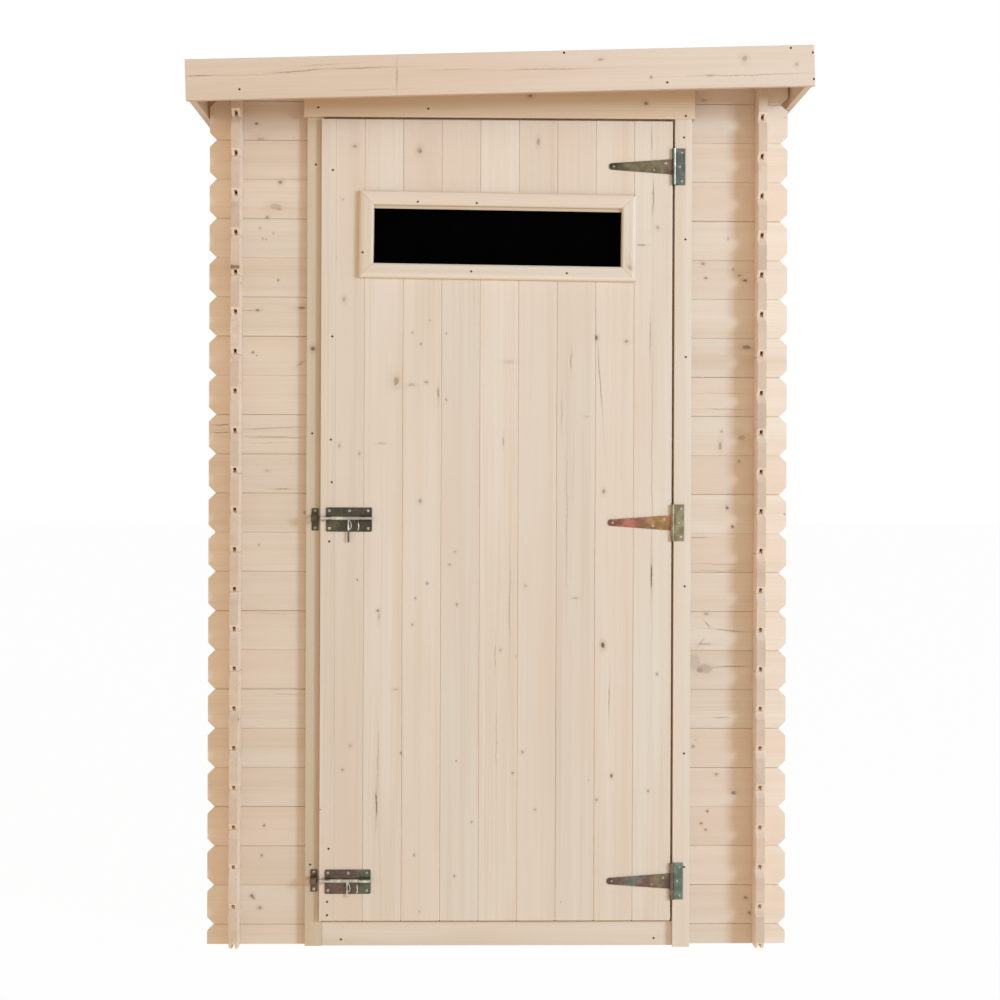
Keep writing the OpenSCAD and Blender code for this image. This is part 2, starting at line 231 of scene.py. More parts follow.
class ShedStage(bpy.types.PropertyGroup):
    """Camera, lamps and floor"""

    eye: FloatVectorProperty(
        name="Eye",
        description="Place of the camera",
        subtype="TRANSLATION",
        default=(-0.0535, -4.2587, 1.0686),
    )
    turn: FloatProperty(
        name="Turn",
        description="Turn of the camera to the left",
        default=math.radians(-1.07),
        subtype="ANGLE",
    )
    roll: FloatProperty(
        name="Roll", description="Roll of the camera", default=math.radians(0.21), subtype="ANGLE"
    )
    lens: FloatProperty(name="Lens", description="Focal length in millimetres", default=61.34)
    shift_x: FloatProperty(name="Shift X", description="Sideways shift of the lens", default=-0.0065)
    shift_y: FloatProperty(name="Shift Y", description="Upward shift of the lens", default=-0.0313)
    ambient: FloatProperty(name="Ambient", description="Strength of the surrounding light", default=0.84)
    bounce: FloatProperty(name="Bounce", description="Even share of the floor's light", default=0.75)
    fill_tone: FloatVectorProperty(
        name="Fill tone",
        description="Colour of the surrounding light",
        subtype="COLOR",
        default=(1.0, 0.885, 0.73),
    )
    key: FloatProperty(name="Key", description="Power of the main lamp in watts", default=335.0)
    key_tone: FloatVectorProperty(
        name="Key tone", description="Colour of the main lamp", subtype="COLOR", default=(0.45, 0.70, 1.0)
    )
    key_size: FloatProperty(
        name="Key size", description="Width of the main lamp", default=1.6, unit="LENGTH"
    )
    key_far: FloatProperty(
        name="Key distance", description="Distance of the main lamp", default=7.0, unit="LENGTH"
    )
    key_turn: FloatProperty(
        name="Key turn",
        description="Turn of the main lamp to the right",
        default=math.radians(47),
        subtype="ANGLE",
    )
    key_height: FloatProperty(
        name="Key height", description="Rise of the main lamp", default=math.radians(11), subtype="ANGLE"
    )


# ---- knots, cracks and nails that show at the front ----

# Each mark is x, z, half width, half height and strength, with a lean where it slants. Long ones are
# cracks and resin lines.
DOOR_MARKS = (
    (0.235, 0.675, 0.0050, 0.0080, 1.00),
    (0.255, 0.383, 0.0032, 0.0050, 0.95),
    (0.218, 1.362, 0.0040, 0.0065, 0.90),
    (0.284, 1.354, 0.0050, 0.0040, 0.60),
    (0.318, 1.570, 0.0110, 0.0022, 0.55),
    (0.235, 1.019, 0.0040, 0.0065, 0.60),
    (0.086, 1.799, 0.0040, 0.0090, 0.60),
    (-0.180, 1.778, 0.0075, 0.0100, 0.42),
    (-0.178, 1.776, 0.0030, 0.0045, 0.80),
    (-0.323, 1.786, 0.0060, 0.0045, 0.55),
    (-0.347, 1.445, 0.0055, 0.0075, 0.42),
    (-0.365, 1.538, 0.0030, 0.0035, 0.40),
    (-0.349, 1.667, 0.0028, 0.0030, 0.40),
    (-0.175, 1.346, 0.0032, 0.0032, 0.55),
    (-0.194, 1.371, 0.0028, 0.0030, 0.50),
    (-0.118, 1.370, 0.0026, 0.0030, 0.50),
    (-0.154, 1.399, 0.0022, 0.0028, 0.40),
    (-0.195, 1.255, 0.0100, 0.0040, 0.38),
    (-0.162, 1.261, 0.0050, 0.0040, 0.50),
    (-0.135, 1.236, 0.0022, 0.0140, 0.70),
    (-0.117, 1.222, 0.0022, 0.0028, 0.60),
    (-0.355, 1.119, 0.0040, 0.0060, 0.40),
    (-0.310, 1.101, 0.0028, 0.0050, 0.45),
    (-0.260, 1.124, 0.0130, 0.0028, 0.30),
    (-0.175, 0.996, 0.0045, 0.0060, 0.55),
    (-0.097, 0.883, 0.0035, 0.0040, 0.45),
    (-0.158, 0.812, 0.0035, 0.0040, 0.60),
    (-0.184, 0.779, 0.0030, 0.0032, 0.55),
    (-0.109, 0.854, 0.0030, 0.0035, 0.60),
    (-0.093, 0.765, 0.0030, 0.0040, 0.55),
    (-0.191, 0.720, 0.0030, 0.0040, 0.50),
    (-0.269, 0.751, 0.0032, 0.0034, 0.80),
    (-0.267, 0.738, 0.0026, 0.0110, 0.40),
    (-0.229, 0.575, 0.0075, 0.0028, 0.38),
    (-0.057, 0.280, 0.0030, 0.0035, 0.55),
    (-0.185, 0.206, 0.0030, 0.0035, 0.55),
    (-0.095, 0.159, 0.0030, 0.0035, 0.60),
    (-0.174, 0.080, 0.0035, 0.0030, 0.30),
    (-0.329, 0.450, 0.0045, 0.0050, 0.35),
    (-0.345, 0.396, 0.0030, 0.0034, 0.60),
    (-0.216, 0.433, 0.0032, 0.0038, 0.60),
    (0.056, 0.436, 0.0032, 0.0038, 0.60),
    (0.034, 0.389, 0.0030, 0.0036, 0.60),
    (0.006, 0.664, 0.0040, 0.0050, 0.35),
    (0.061, 0.807, 0.0040, 0.0050, 0.35),
    (0.171, 0.780, 0.0080, 0.0028, 0.40),
    (0.356, 0.611, 0.0032, 0.0038, 0.60),
    (0.336, 0.349, 0.0035, 0.0038, 0.55),
    (0.221, 0.329, 0.0032, 0.0036, 0.55),
    (0.084, 0.307, 0.0032, 0.0036, 0.50),
    (0.021, 1.307, 0.0160, 0.0050, 0.20),
    (0.010, 1.130, 0.0018, 0.0140, 0.40),
    (-0.267, 0.424, 0.0011, 0.0700, 0.50),
    (-0.270, 0.319, 0.0016, 0.0360, 0.95),
    (-0.006, 0.652, 0.0011, 0.0320, 0.50),
    (-0.003, 0.465, 0.0011, 0.0900, 0.35),
    (0.026, 0.761, 0.0012, 0.1060, 0.50),
    (0.153, 0.960, 0.0009, 0.1850, 0.45),
    (0.162, 1.311, 0.0014, 0.0220, 0.60),
    (0.141, 1.195, 0.0013, 0.0360, 0.40),
    (0.226, 1.270, 0.0011, 0.0950, 0.60, -0.07),
    (0.197, 1.186, 0.0060, 0.0022, 0.28),
    (0.249, 0.551, 0.0012, 0.0470, 0.55),
    (0.338, 1.364, 0.0012, 0.0500, 0.55),
    (0.343, 1.067, 0.0009, 0.3100, 0.40),
    (0.342, 0.831, 0.0019, 0.0360, 1.00),
    (0.340, 1.804, 0.0012, 0.0330, 0.55),
    (0.343, 1.677, 0.0015, 0.0460, 0.65),
    (0.354, 1.609, 0.0050, 0.0050, 0.40),
)
LEFT_MARKS = (
    (-0.492, 1.710, 0.0060, 0.0050, 0.70),
    (-0.503, 1.656, 0.0170, 0.0090, 0.35),
    (-0.495, 1.650, 0.0080, 0.0035, 0.45),
    (-0.521, 1.630, 0.0045, 0.0040, 0.60),
    (-0.537, 1.606, 0.0022, 0.0030, 0.55),
    (-0.507, 1.596, 0.0020, 0.0028, 0.50),
    (-0.531, 1.583, 0.0020, 0.0030, 0.55),
    (-0.523, 1.581, 0.0020, 0.0026, 0.50),
    (-0.496, 1.491, 0.0030, 0.0028, 0.80),
    (-0.542, 1.422, 0.0060, 0.0028, 0.80),
    (-0.560, 1.422, 0.0200, 0.0012, 0.45),
    (-0.444, 1.427, 0.0100, 0.0032, 0.70),
    (-0.552, 1.327, 0.0032, 0.0030, 0.80),
    (-0.543, 1.320, 0.0020, 0.0020, 0.70),
    (-0.446, 1.303, 0.0100, 0.0035, 0.40, 0.6),
    (-0.505, 1.158, 0.0800, 0.0014, 0.45, 0.03),
    (-0.500, 1.137, 0.0750, 0.0018, 0.40, -0.02),
    (-0.520, 1.124, 0.0600, 0.0010, 0.30),
    (-0.622, 1.165, 0.0240, 0.0012, 0.65),
    (-0.622, 1.148, 0.0240, 0.0012, 0.60),
    (-0.519, 1.062, 0.0060, 0.0035, 0.30),
    (-0.486, 1.022, 0.0200, 0.0013, 0.75),
    (-0.435, 0.969, 0.0030, 0.0040, 0.55),
    (-0.537, 0.895, 0.0030, 0.0030, 0.50),
    (-0.505, 0.742, 0.0500, 0.0010, 0.30),
    (-0.470, 0.560, 0.0450, 0.0010, 0.35),
    (-0.523, 0.267, 0.0032, 0.0034, 0.80),
    (-0.528, 0.198, 0.0032, 0.0034, 0.80),
    (-0.550, 0.109, 0.0045, 0.0045, 0.85),
    (-0.546, 0.104, 0.0030, 0.0030, 0.80),
    (-0.532, 0.082, 0.0055, 0.0050, 0.60),
)
RIGHT_MARKS = (
    (0.460, 1.532, 0.0055, 0.0045, 0.55),
    (0.466, 1.500, 0.0040, 0.0030, 0.90),
    (0.528, 1.519, 0.0030, 0.0030, 0.65),
    (0.555, 1.494, 0.0060, 0.0035, 0.85),
    (0.559, 1.345, 0.0120, 0.0060, 0.70),
    (0.516, 1.589, 0.0030, 0.0040, 0.45),
    (0.503, 1.154, 0.0030, 0.0035, 0.60),
    (0.500, 1.122, 0.0040, 0.0110, 0.55),
    (0.543, 1.086, 0.0028, 0.0030, 0.75),
    (0.516, 0.982, 0.0035, 0.0040, 0.90),
    (0.528, 0.940, 0.0030, 0.0038, 0.85),
    (0.452, 0.915, 0.0260, 0.0010, 0.60),
    (0.520, 0.706, 0.0420, 0.0012, 0.60, -0.11),
    (0.473, 0.720, 0.0070, 0.0015, 0.80, -1.10),
    (0.457, 0.677, 0.0065, 0.0016, 0.80, 1.30),
    (0.443, 0.632, 0.0190, 0.0250, 0.24),
    (0.470, 0.744, 0.0060, 0.0035, 0.55),
    (0.467, 0.675, 0.0180, 0.0025, 0.45),
    (0.466, 0.619, 0.0230, 0.0140, 0.40),
    (0.456, 0.616, 0.0100, 0.0075, 0.60),
    (0.520, 0.624, 0.0520, 0.0012, 0.65, 0.03),
    (0.506, 0.510, 0.0200, 0.0011, 0.50),
    (0.441, 0.444, 0.0034, 0.0034, 0.70),
    (0.494, 0.381, 0.0050, 0.0030, 0.65),
    (0.533, 0.339, 0.0080, 0.0060, 0.60),
    (0.533, 0.339, 0.0036, 0.0030, 0.90),
    (0.474, 0.298, 0.0034, 0.0034, 0.85),
    (0.460, 0.271, 0.0034, 0.0034, 0.80),
    (0.470, 0.256, 0.0034, 0.0030, 0.75),
    (0.561, 0.102, 0.0045, 0.0042, 0.75),
    (0.570, 0.068, 0.0040, 0.0038, 0.70),
    (0.500, 1.240, 0.0600, 0.0010, 0.30),
    (0.510, 1.205, 0.0600, 0.0012, 0.35),
    (0.500, 0.855, 0.0650, 0.0012, 0.30),
    (0.500, 0.840, 0.0650, 0.0012, 0.35),
)
HEADER_MARKS = (
    (0.068, 1.901, 0.0070, 0.0050, 0.70),
    (0.327, 1.887, 0.0055, 0.0050, 0.75),
    (-0.150, 1.906, 0.2000, 0.0012, 0.25),
    (-0.330, 1.912, 0.0900, 0.0014, 0.30),
)
POST_MARKS = (
    (-0.415, 1.335, 0.0060, 0.0065, 0.95),
    (-0.417, 0.967, 0.0030, 0.0040, 0.50),
)
# On the sloping fascia, the second number is the distance below its upper edge, and a lean is over
# and above the slope.
FASCIA_MARKS = (
    (-0.644, 0.036, 0.0320, 0.0012, 0.70),
    (-0.560, 0.037, 0.0700, 0.0008, 0.35),
    (-0.434, 0.031, 0.0620, 0.0013, 0.60, 0.05),
    (-0.298, 0.028, 0.0780, 0.0012, 0.55, 0.01),
    (-0.223, 0.050, 0.0012, 0.0300, 0.55),
    (-0.390, 0.020, 0.0500, 0.0009, 0.35, 0.03),
    (0.100, 0.040, 0.1050, 0.0012, 0.50),
    (0.520, 0.062, 0.1550, 0.0009, 0.50),
    (0.523, 0.026, 0.0070, 0.0075, 0.45),
    (0.448, 0.062, 0.0090, 0.0028, 0.50),
    (0.322, 0.062, 0.0035, 0.0040, 0.60),
    (0.213, 0.021, 0.0080, 0.0040, 0.45),
    (0.635, 0.042, 0.0045, 0.0055, 0.40),
    (-0.105, 0.036, 0.0500, 0.0010, 0.35),
    (-0.280, 0.075, 0.0800, 0.0010, 0.25),
)
# The nails of each board, as x and z, and on the fascia x and the distance below its upper edge
NAILS = {
    "front_fascia": (
        (-0.561, 0.067), (0.135, 0.005), (0.355, 0.074), (0.623, 0.006), (0.670, 0.017), (0.671, 0.074),
    ),
    "door_header": ((-0.405, 1.872), (-0.160, 1.871), (0.416, 1.859)),
    "closing_post": ((-0.411, 1.747), (-0.417, 1.146), (-0.418, 0.182)),
    "hinge_post": (
        (0.412, 1.811), (0.416, 1.583), (0.418, 1.320), (0.417, 0.807), (0.417, 0.433), (0.418, 0.179),
    ),
    "front_sill": ((-0.349, 0.014), (0.352, 0.016)),
    "door_strip": (
        (-0.372, 1.733), (-0.372, 1.362), (-0.374, 1.132), (-0.372, 1.037),
        (-0.377, 0.905), (-0.376, 0.220), (-0.379, 0.102), (-0.379, 0.072),
    ),
    "window_frame_outside": (
        (-0.182, 1.661), (-0.051, 1.659), (-0.304, 1.548), (-0.063, 1.507), (0.150, 1.504),
    ),
}


# ---- meshes ----


def link(name, mesh):
    """A new object at the origin that shows mesh."""
    piece = bpy.data.objects.new(name, mesh)
    bpy.context.scene.collection.objects.link(piece)
    return piece


def show(name, mesh, look, body, slot, *nodes):
    """A finished piece that shows mesh, with its look and body; slot is not used. It hides the CAD nodes
    that it stands for."""
    piece = link(name, mesh)
    mesh.materials.clear()
    mesh.materials.append(LOOKS[look])
    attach(piece, body)
    if nodes:
        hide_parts(*nodes)
    return piece


def paint(piece, look, chosen):
    """Gives the faces for which chosen is true a second look."""
    piece.data.materials.append(LOOKS[look])
    for face in piece.data.polygons:
        face.material_index = int(chosen(face))


def mesh_from(name, bm):
    """Turns bm into a mesh and frees it."""
    bmesh.ops.recalc_face_normals(bm, faces=bm.faces)
    mesh = bpy.data.meshes.new(name)
    bm.to_mesh(mesh)
    bm.free()
    return mesh


def add_box(bm, low, high):
    """Adds a closed box between two corners."""
    centre = (Vector(low) + Vector(high)) / 2
    size = Vector(high) - Vector(low)
    place = Matrix.Translation(centre) @ Matrix.Diagonal((*size, 1))
    return bmesh.ops.create_cube(bm, size=1, matrix=place)["verts"]


def add_prism(bm, outline, start, step):
    """Adds the prism of an outline of points, from start along step."""
    bottom = [bm.verts.new(Vector(point) + Vector(start)) for point in outline]
    top = [bm.verts.new(v.co + Vector(step)) for v in bottom]
    bm.faces.new(bottom)
    bm.faces.new(list(reversed(top)))
    for k, v in enumerate(bottom):
        after = (k + 1) % len(bottom)
        bm.faces.new((v, top[k], top[after], bottom[after]))
    return bottom + top


def ease_edges(bm, size, segments=2, sharper=math.radians(35)):
    """Rounds the edges of bm that are sharper than an angle."""
    sharp = [e for e in bm.edges if e.is_manifold and e.calc_face_angle(0) > sharper]
    bmesh.ops.bevel(
        bm, geom=sharp, offset=size, segments=segments, profile=0.6, affect="EDGES", clamp_overlap=True
    )


def eased_copy(node, size, segments=2, sink=0.0):
    """A copy of a CAD node's mesh with merged corners and rounded edges. Sink moves its front and
    back faces in, so that nail heads stay within its box."""
    bm = bmesh.new()
    bm.from_mesh(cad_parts[node].data)
    bmesh.ops.remove_doubles(bm, verts=bm.verts, dist=1e-6)
    bmesh.ops.dissolve_limit(bm, angle_limit=math.radians(1), verts=bm.verts, edges=bm.edges)
    if sink:
        low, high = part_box(node)
        middle = (low.y + high.y) / 2
        for v in bm.verts:
            v.co.y += sink if v.co.y < middle else -sink
    ease_edges(bm, size, segments)
    return bm


def cut_away(mesh, cutters, keep=False):
    """Takes cutters, a bmesh of closed solids, from mesh, or keeps only what lies in them."""
    body = link("cut_body", mesh)
    tool = link("cut_tool", mesh_from("cut_tool", cutters))
    step = body.modifiers.new("cut", "BOOLEAN")
    step.operation = "INTERSECT" if keep else "DIFFERENCE"
    step.solver = "EXACT"
    step.use_self = True
    step.object = tool
    result = evaluated_mesh(body)
    bpy.data.objects.remove(body)
    bpy.data.objects.remove(tool)
    return result


def evaluated_mesh(piece):
    """The mesh of a piece with its modifiers applied."""
    bpy.context.view_layer.update()
    graph = bpy.context.evaluated_depsgraph_get()
    return bpy.data.meshes.new_from_object(piece.evaluated_get(graph), depsgraph=graph)


def trim(mesh, point, normal):
    """Cuts mesh with a plane, removes what is on the normal's side and closes the cut."""
    bm = bmesh.new()
    bm.from_mesh(mesh)
    everything = list(bm.verts) + list(bm.edges) + list(bm.faces)
    cut = bmesh.ops.bisect_plane(
        bm, geom=everything, dist=1e-6, plane_co=point, plane_no=normal, clear_outer=True
    )
    edges = [e for e in cut["geom_cut"] if isinstance(e, bmesh.types.BMEdge)]
    bmesh.ops.holes_fill(bm, edges=edges)
    return mesh_from(mesh.name, bm)


def merged(name, meshes):
    """One mesh of several."""
    bm = bmesh.new()
    for mesh in meshes:
        bm.from_mesh(mesh)
    result = bpy.data.meshes.new(name)
    bm.to_mesh(result)
    bm.free()
    return result


def islands(mesh):
    """For each vertex, the lowest index of a vertex that it is joined to."""
    labels = np.arange(len(mesh.vertices))
    ends = np.zeros(len(mesh.edges) * 2, int)
    mesh.edges.foreach_get("vertices", ends)
    first, second = ends[0::2], ends[1::2]
    while True:
        low = np.minimum(labels[first], labels[second])
        after = labels.copy()
        np.minimum.at(after, first, low)
        np.minimum.at(after, second, low)
        after = after[after]
        if np.array_equal(after, labels):
            return labels
        labels = after


def mark_grain(mesh, seed):
    """Stores each board's own wood coordinates, which run along, across and through it, a random
    shift that sets it apart from the others, and which faces cut across the grain or ease an edge."""
    count = len(mesh.vertices)
    places = np.zeros(count * 3)
    mesh.vertices.foreach_get("co", places)
    places = places.reshape(-1, 3)
    labels = islands(mesh)
    wood = np.zeros((count, 3))
    shift = np.zeros((count, 3))
    grain = np.zeros(count, int)
    draw = np.random.default_rng(seed)
    for label in np.unique(labels):
        mine = labels == label
        own = places[mine]
        low, high = own.min(0), own.max(0)
        order = np.argsort(low - high, kind="stable")
        wood[mine] = (own - (low + high) / 2)[:, order]
        shift[mine] = draw.uniform(0.0, 8.0, 3)
        grain[mine] = order[0]
    ends = [float(abs(face.normal[grain[face.vertices[0]]]) > 0.9) for face in mesh.polygons]
    slants = [float(max(abs(part) for part in face.normal) < 0.95) for face in mesh.polygons]
    for name, values in (("end_grain", ends), ("arris", slants)):
        mesh.attributes.new(name, "FLOAT", "FACE").data.foreach_set("value", values)
    for name, values in (("wood", wood), ("shift", shift)):
        layer = mesh.attributes.new(name, "FLOAT_VECTOR", "POINT")
        layer.data.foreach_set("vector", values.astype(np.float32).ravel())
    return mesh


# ---- node trees ----


class Nodes:
    """Short ways to add and join the nodes of one tree."""

    def __init__(self, tree):
        self.tree = tree

    def node(self, kind, values=(), **settings):
        """A node with its settings, and with its inputs set or linked by name or number."""
        node = self.tree.nodes.new(kind)
        for title, value in settings.items():
            setattr(node, title, value)
        for key, value in dict(values).items():
            self.feed(node.inputs[key], value)
        return node

    def feed(self, socket, value):
        """Links a socket to an output, or sets its value."""
        if isinstance(value, bpy.types.NodeSocket):
            self.tree.links.new(value, socket)
        elif isinstance(value, (tuple, list, Vector)) and socket.type == "RGBA":
            socket.default_value = (*value, 1) if len(value) == 3 else value
        else:
            socket.default_value = value


def new_tree(name, inputs):
    """A geometry node tree with a geometry in and out and named inputs, each of a kind."""
    tree = bpy.data.node_groups.new(name, "GeometryNodeTree")
    for title, kind in {"Geometry": "Geometry", **inputs}.items():
        tree.interface.new_socket(title, in_out="INPUT", socket_type="NodeSocket" + kind)
    tree.interface.new_socket("Geometry", in_out="OUTPUT", socket_type="NodeSocketGeometry")
    return Nodes(tree), tree.nodes.new("NodeGroupInput").outputs


def finish_tree(nodes, instances, material):
    """Realizes the instances and sets their material at the end of a tree."""
    solid = nodes.node("GeometryNodeRealizeInstances", {"Geometry": instances}).outputs["Geometry"]
    coated = nodes.node("GeometryNodeSetMaterial", {"Geometry": solid, "Material": material})
    nodes.node("NodeGroupOutput", {0: coated.outputs["Geometry"]})
    return nodes.tree


def row_tree():
    """Repeats a piece in a straight row: Count of them, each a Step from the last and moved by
    chance within Play."""
    kinds = {"Piece": "Object", "Count": "Int", "Step": "Vector", "Play": "Vector", "Seed": "Int"}
    nodes, given = new_tree("row", {**kinds, "Material": "Material"})
    line = nodes.node("GeometryNodeMeshLine", {"Count": given["Count"], "Offset": given["Step"]})
    reach = {"Max": given["Play"], "Seed": given["Seed"]}
    chance = nodes.node("FunctionNodeRandomValue", reach, data_type="FLOAT_VECTOR")
    moved = {"Geometry": line.outputs["Mesh"], "Offset": chance.outputs["Value"]}
    points = nodes.node("GeometryNodeSetPosition", moved).outputs["Geometry"]
    piece = nodes.node("GeometryNodeObjectInfo", {"Object": given["Piece"]}).outputs["Geometry"]
    placed = nodes.node("GeometryNodeInstanceOnPoints", {"Points": points, "Instance": piece})
    return finish_tree(nodes, placed.outputs["Instances"], given["Material"])


def fixing_tree():
    """Puts a nail or screw on each point, turned to face one way and spun by chance."""
    kinds = {"Piece": "Object", "Facing": "Vector", "Seed": "Int", "Material": "Material"}
    nodes, given = new_tree("fixings", kinds)
    reach = {"Max": math.tau, "Seed": given["Seed"]}
    chance = nodes.node("FunctionNodeRandomValue", reach, data_type="FLOAT")
    spin = nodes.node("ShaderNodeCombineXYZ", {"Z": chance.outputs["Value"]}).outputs["Vector"]
    aim = nodes.node("FunctionNodeAlignEulerToVector", {"Vector": given["Facing"]}, axis="Z")
    piece = nodes.node("GeometryNodeObjectInfo", {"Object": given["Piece"]}).outputs["Geometry"]
    setting = {"Points": given["Geometry"], "Instance": piece, "Rotation": aim.outputs["Rotation"]}
    placed = nodes.node("GeometryNodeInstanceOnPoints", setting).outputs["Instances"]
    turned = nodes.node("GeometryNodeRotateInstances", {"Instances": placed, "Rotation": spin})
    return finish_tree(nodes, turned.outputs["Instances"], given["Material"])


def run_tree(name, tree, base, values):
    """Runs a tree on a base mesh with named input values and returns the plain mesh."""
    carrier = link(name, base)
    step = carrier.modifiers.new(name, "NODES")
    step.node_group = tree
    for item in tree.interface.items_tree:
        if item.in_out == "INPUT" and item.name in values:
            step[item.identifier] = values[item.name]
    result = evaluated_mesh(carrier)
    result.name = name
    carrier.modifiers.remove(step)
    bpy.data.objects.remove(carrier)
    return result


def row(name, template, count, step, material, play=(0, 0, 0), seed=1):
    """A row of count copies of a template mesh, each with a little play."""
    piece = link(name + "_template", template)
    values = {"Piece": piece, "Count": count, "Step": Vector(step), "Material": material}
    values.update({"Play": Vector(play), "Seed": seed})
    result = run_tree(name, TREES["row"], bpy.data.meshes.new("empty"), values)
    bpy.data.objects.remove(piece)
    return result


def fixings(name, template, points, facing, seed, material):
    """Copies of a template mesh on points, with its top turned to face one way."""
    base = bpy.data.meshes.new("points")
    base.from_pydata([tuple(point) for point in points], [], [])
    piece = link(name + "_template", template)
    values = {"Piece": piece, "Facing": Vector(facing), "Seed": seed, "Material": material}
    result = run_tree(name, TREES["fixing"], base, values)
    bpy.data.objects.remove(piece)
    return result


TREES = {}


# ---- shader node groups and materials ----


# What the groups of a finish put out
FINISH = (("Color", "Color"), ("Roughness", "Float"), ("Height", "Float"))


class Shade(Nodes):
    """Short ways to add and join the shader nodes of one tree."""

    def math(self, operation, *values, clamp=False):
        """The result of a sum on numbers."""
        node = self.node("ShaderNodeMath", enumerate(values), operation=operation, use_clamp=clamp)
        return node.outputs[0]

    def plus(self, first, second, clamp=False):
        """The sum of two numbers."""
        return self.math("ADD", first, second, clamp=clamp)

    def times(self, first, second):
        """The product of two numbers."""
        return self.math("MULTIPLY", first, second)

    def vector(self, operation, *values, out=0):
        """The result of a sum on vectors."""
        node = self.node("ShaderNodeVectorMath", enumerate(values), operation=operation)
        return node.outputs[out]

    def place(self):
        """The place on the object."""
        return self.node("ShaderNodeTexCoord").outputs["Object"]

    def parts(self, vector):
        """The three numbers of a vector or colour."""
        return self.node("ShaderNodeSeparateXYZ", {"Vector": vector}).outputs

    def noise(self, place, scale, detail=2.0, rough=0.5):
        """Soft noise at a place, from 0 to 1. Scale is one number, or one for each axis."""
        if isinstance(scale, tuple):
            place = self.vector("MULTIPLY", place, scale)
            scale = 1.0
        values = {"Vector": place, "Scale": scale, "Detail": detail, "Roughness": rough}
        return self.node("ShaderNodeTexNoise", values).outputs["Fac"]

    def ramp(self, value, low, high, to_low=0.0, to_high=1.0, kind="SMOOTHSTEP"):
        """Value spread from one range to another."""
        values = {"Value": value, "From Min": low, "From Max": high, "To Min": to_low, "To Max": to_high}
        return self.node("ShaderNodeMapRange", values, interpolation_type=kind).outputs["Result"]

    def line(self, value, to_low, to_high):
        """A value from 0 to 1 spread evenly to another range."""
        return self.ramp(value, 0.0, 1.0, to_low, to_high, "LINEAR")

    def mix(self, share, first, second, blend="MIX"):
        """A mix of two colours."""
        node = self.node("ShaderNodeMix", data_type="RGBA", blend_type=blend)
        self.feed(node.inputs[0], share)
        self.feed(node.inputs[6], first)
        self.feed(node.inputs[7], second)
        return node.outputs[2]

    def attribute(self, name, kind="Vector"):
        """An attribute of the mesh, as a vector or with Fac as a number."""
        return self.node("ShaderNodeAttribute", attribute_name=name).outputs[kind]

    def seen(self):
        """1 for rays from the camera, off gloss and through glass, and 0 for those that light."""
        rays = self.node("ShaderNodeLightPath").outputs
        seen = self.math("MAXIMUM", rays["Is Camera Ray"], rays["Is Glossy Ray"])
        return self.math("MAXIMUM", seen, rays["Is Transmission Ray"])


def new_group(name, inputs, outputs=FINISH):
    """A shader node group with named sockets, each input with its kind and default."""
    tree = bpy.data.node_groups.new(name, "ShaderNodeTree")
    for title, kind, default in inputs:
        socket = tree.interface.new_socket(title, in_out="INPUT", socket_type="NodeSocket" + kind)
        if default is not None:
            socket.default_value = (*default, 1) if kind == "Color" else default
    for title, kind in outputs:
        tree.interface.new_socket(title, in_out="OUTPUT", socket_type="NodeSocket" + kind)
    inlet = tree.nodes.new("NodeGroupInput")
    outlet = tree.nodes.new("NodeGroupOutput")
    return Shade(tree), inlet.outputs, outlet.inputs


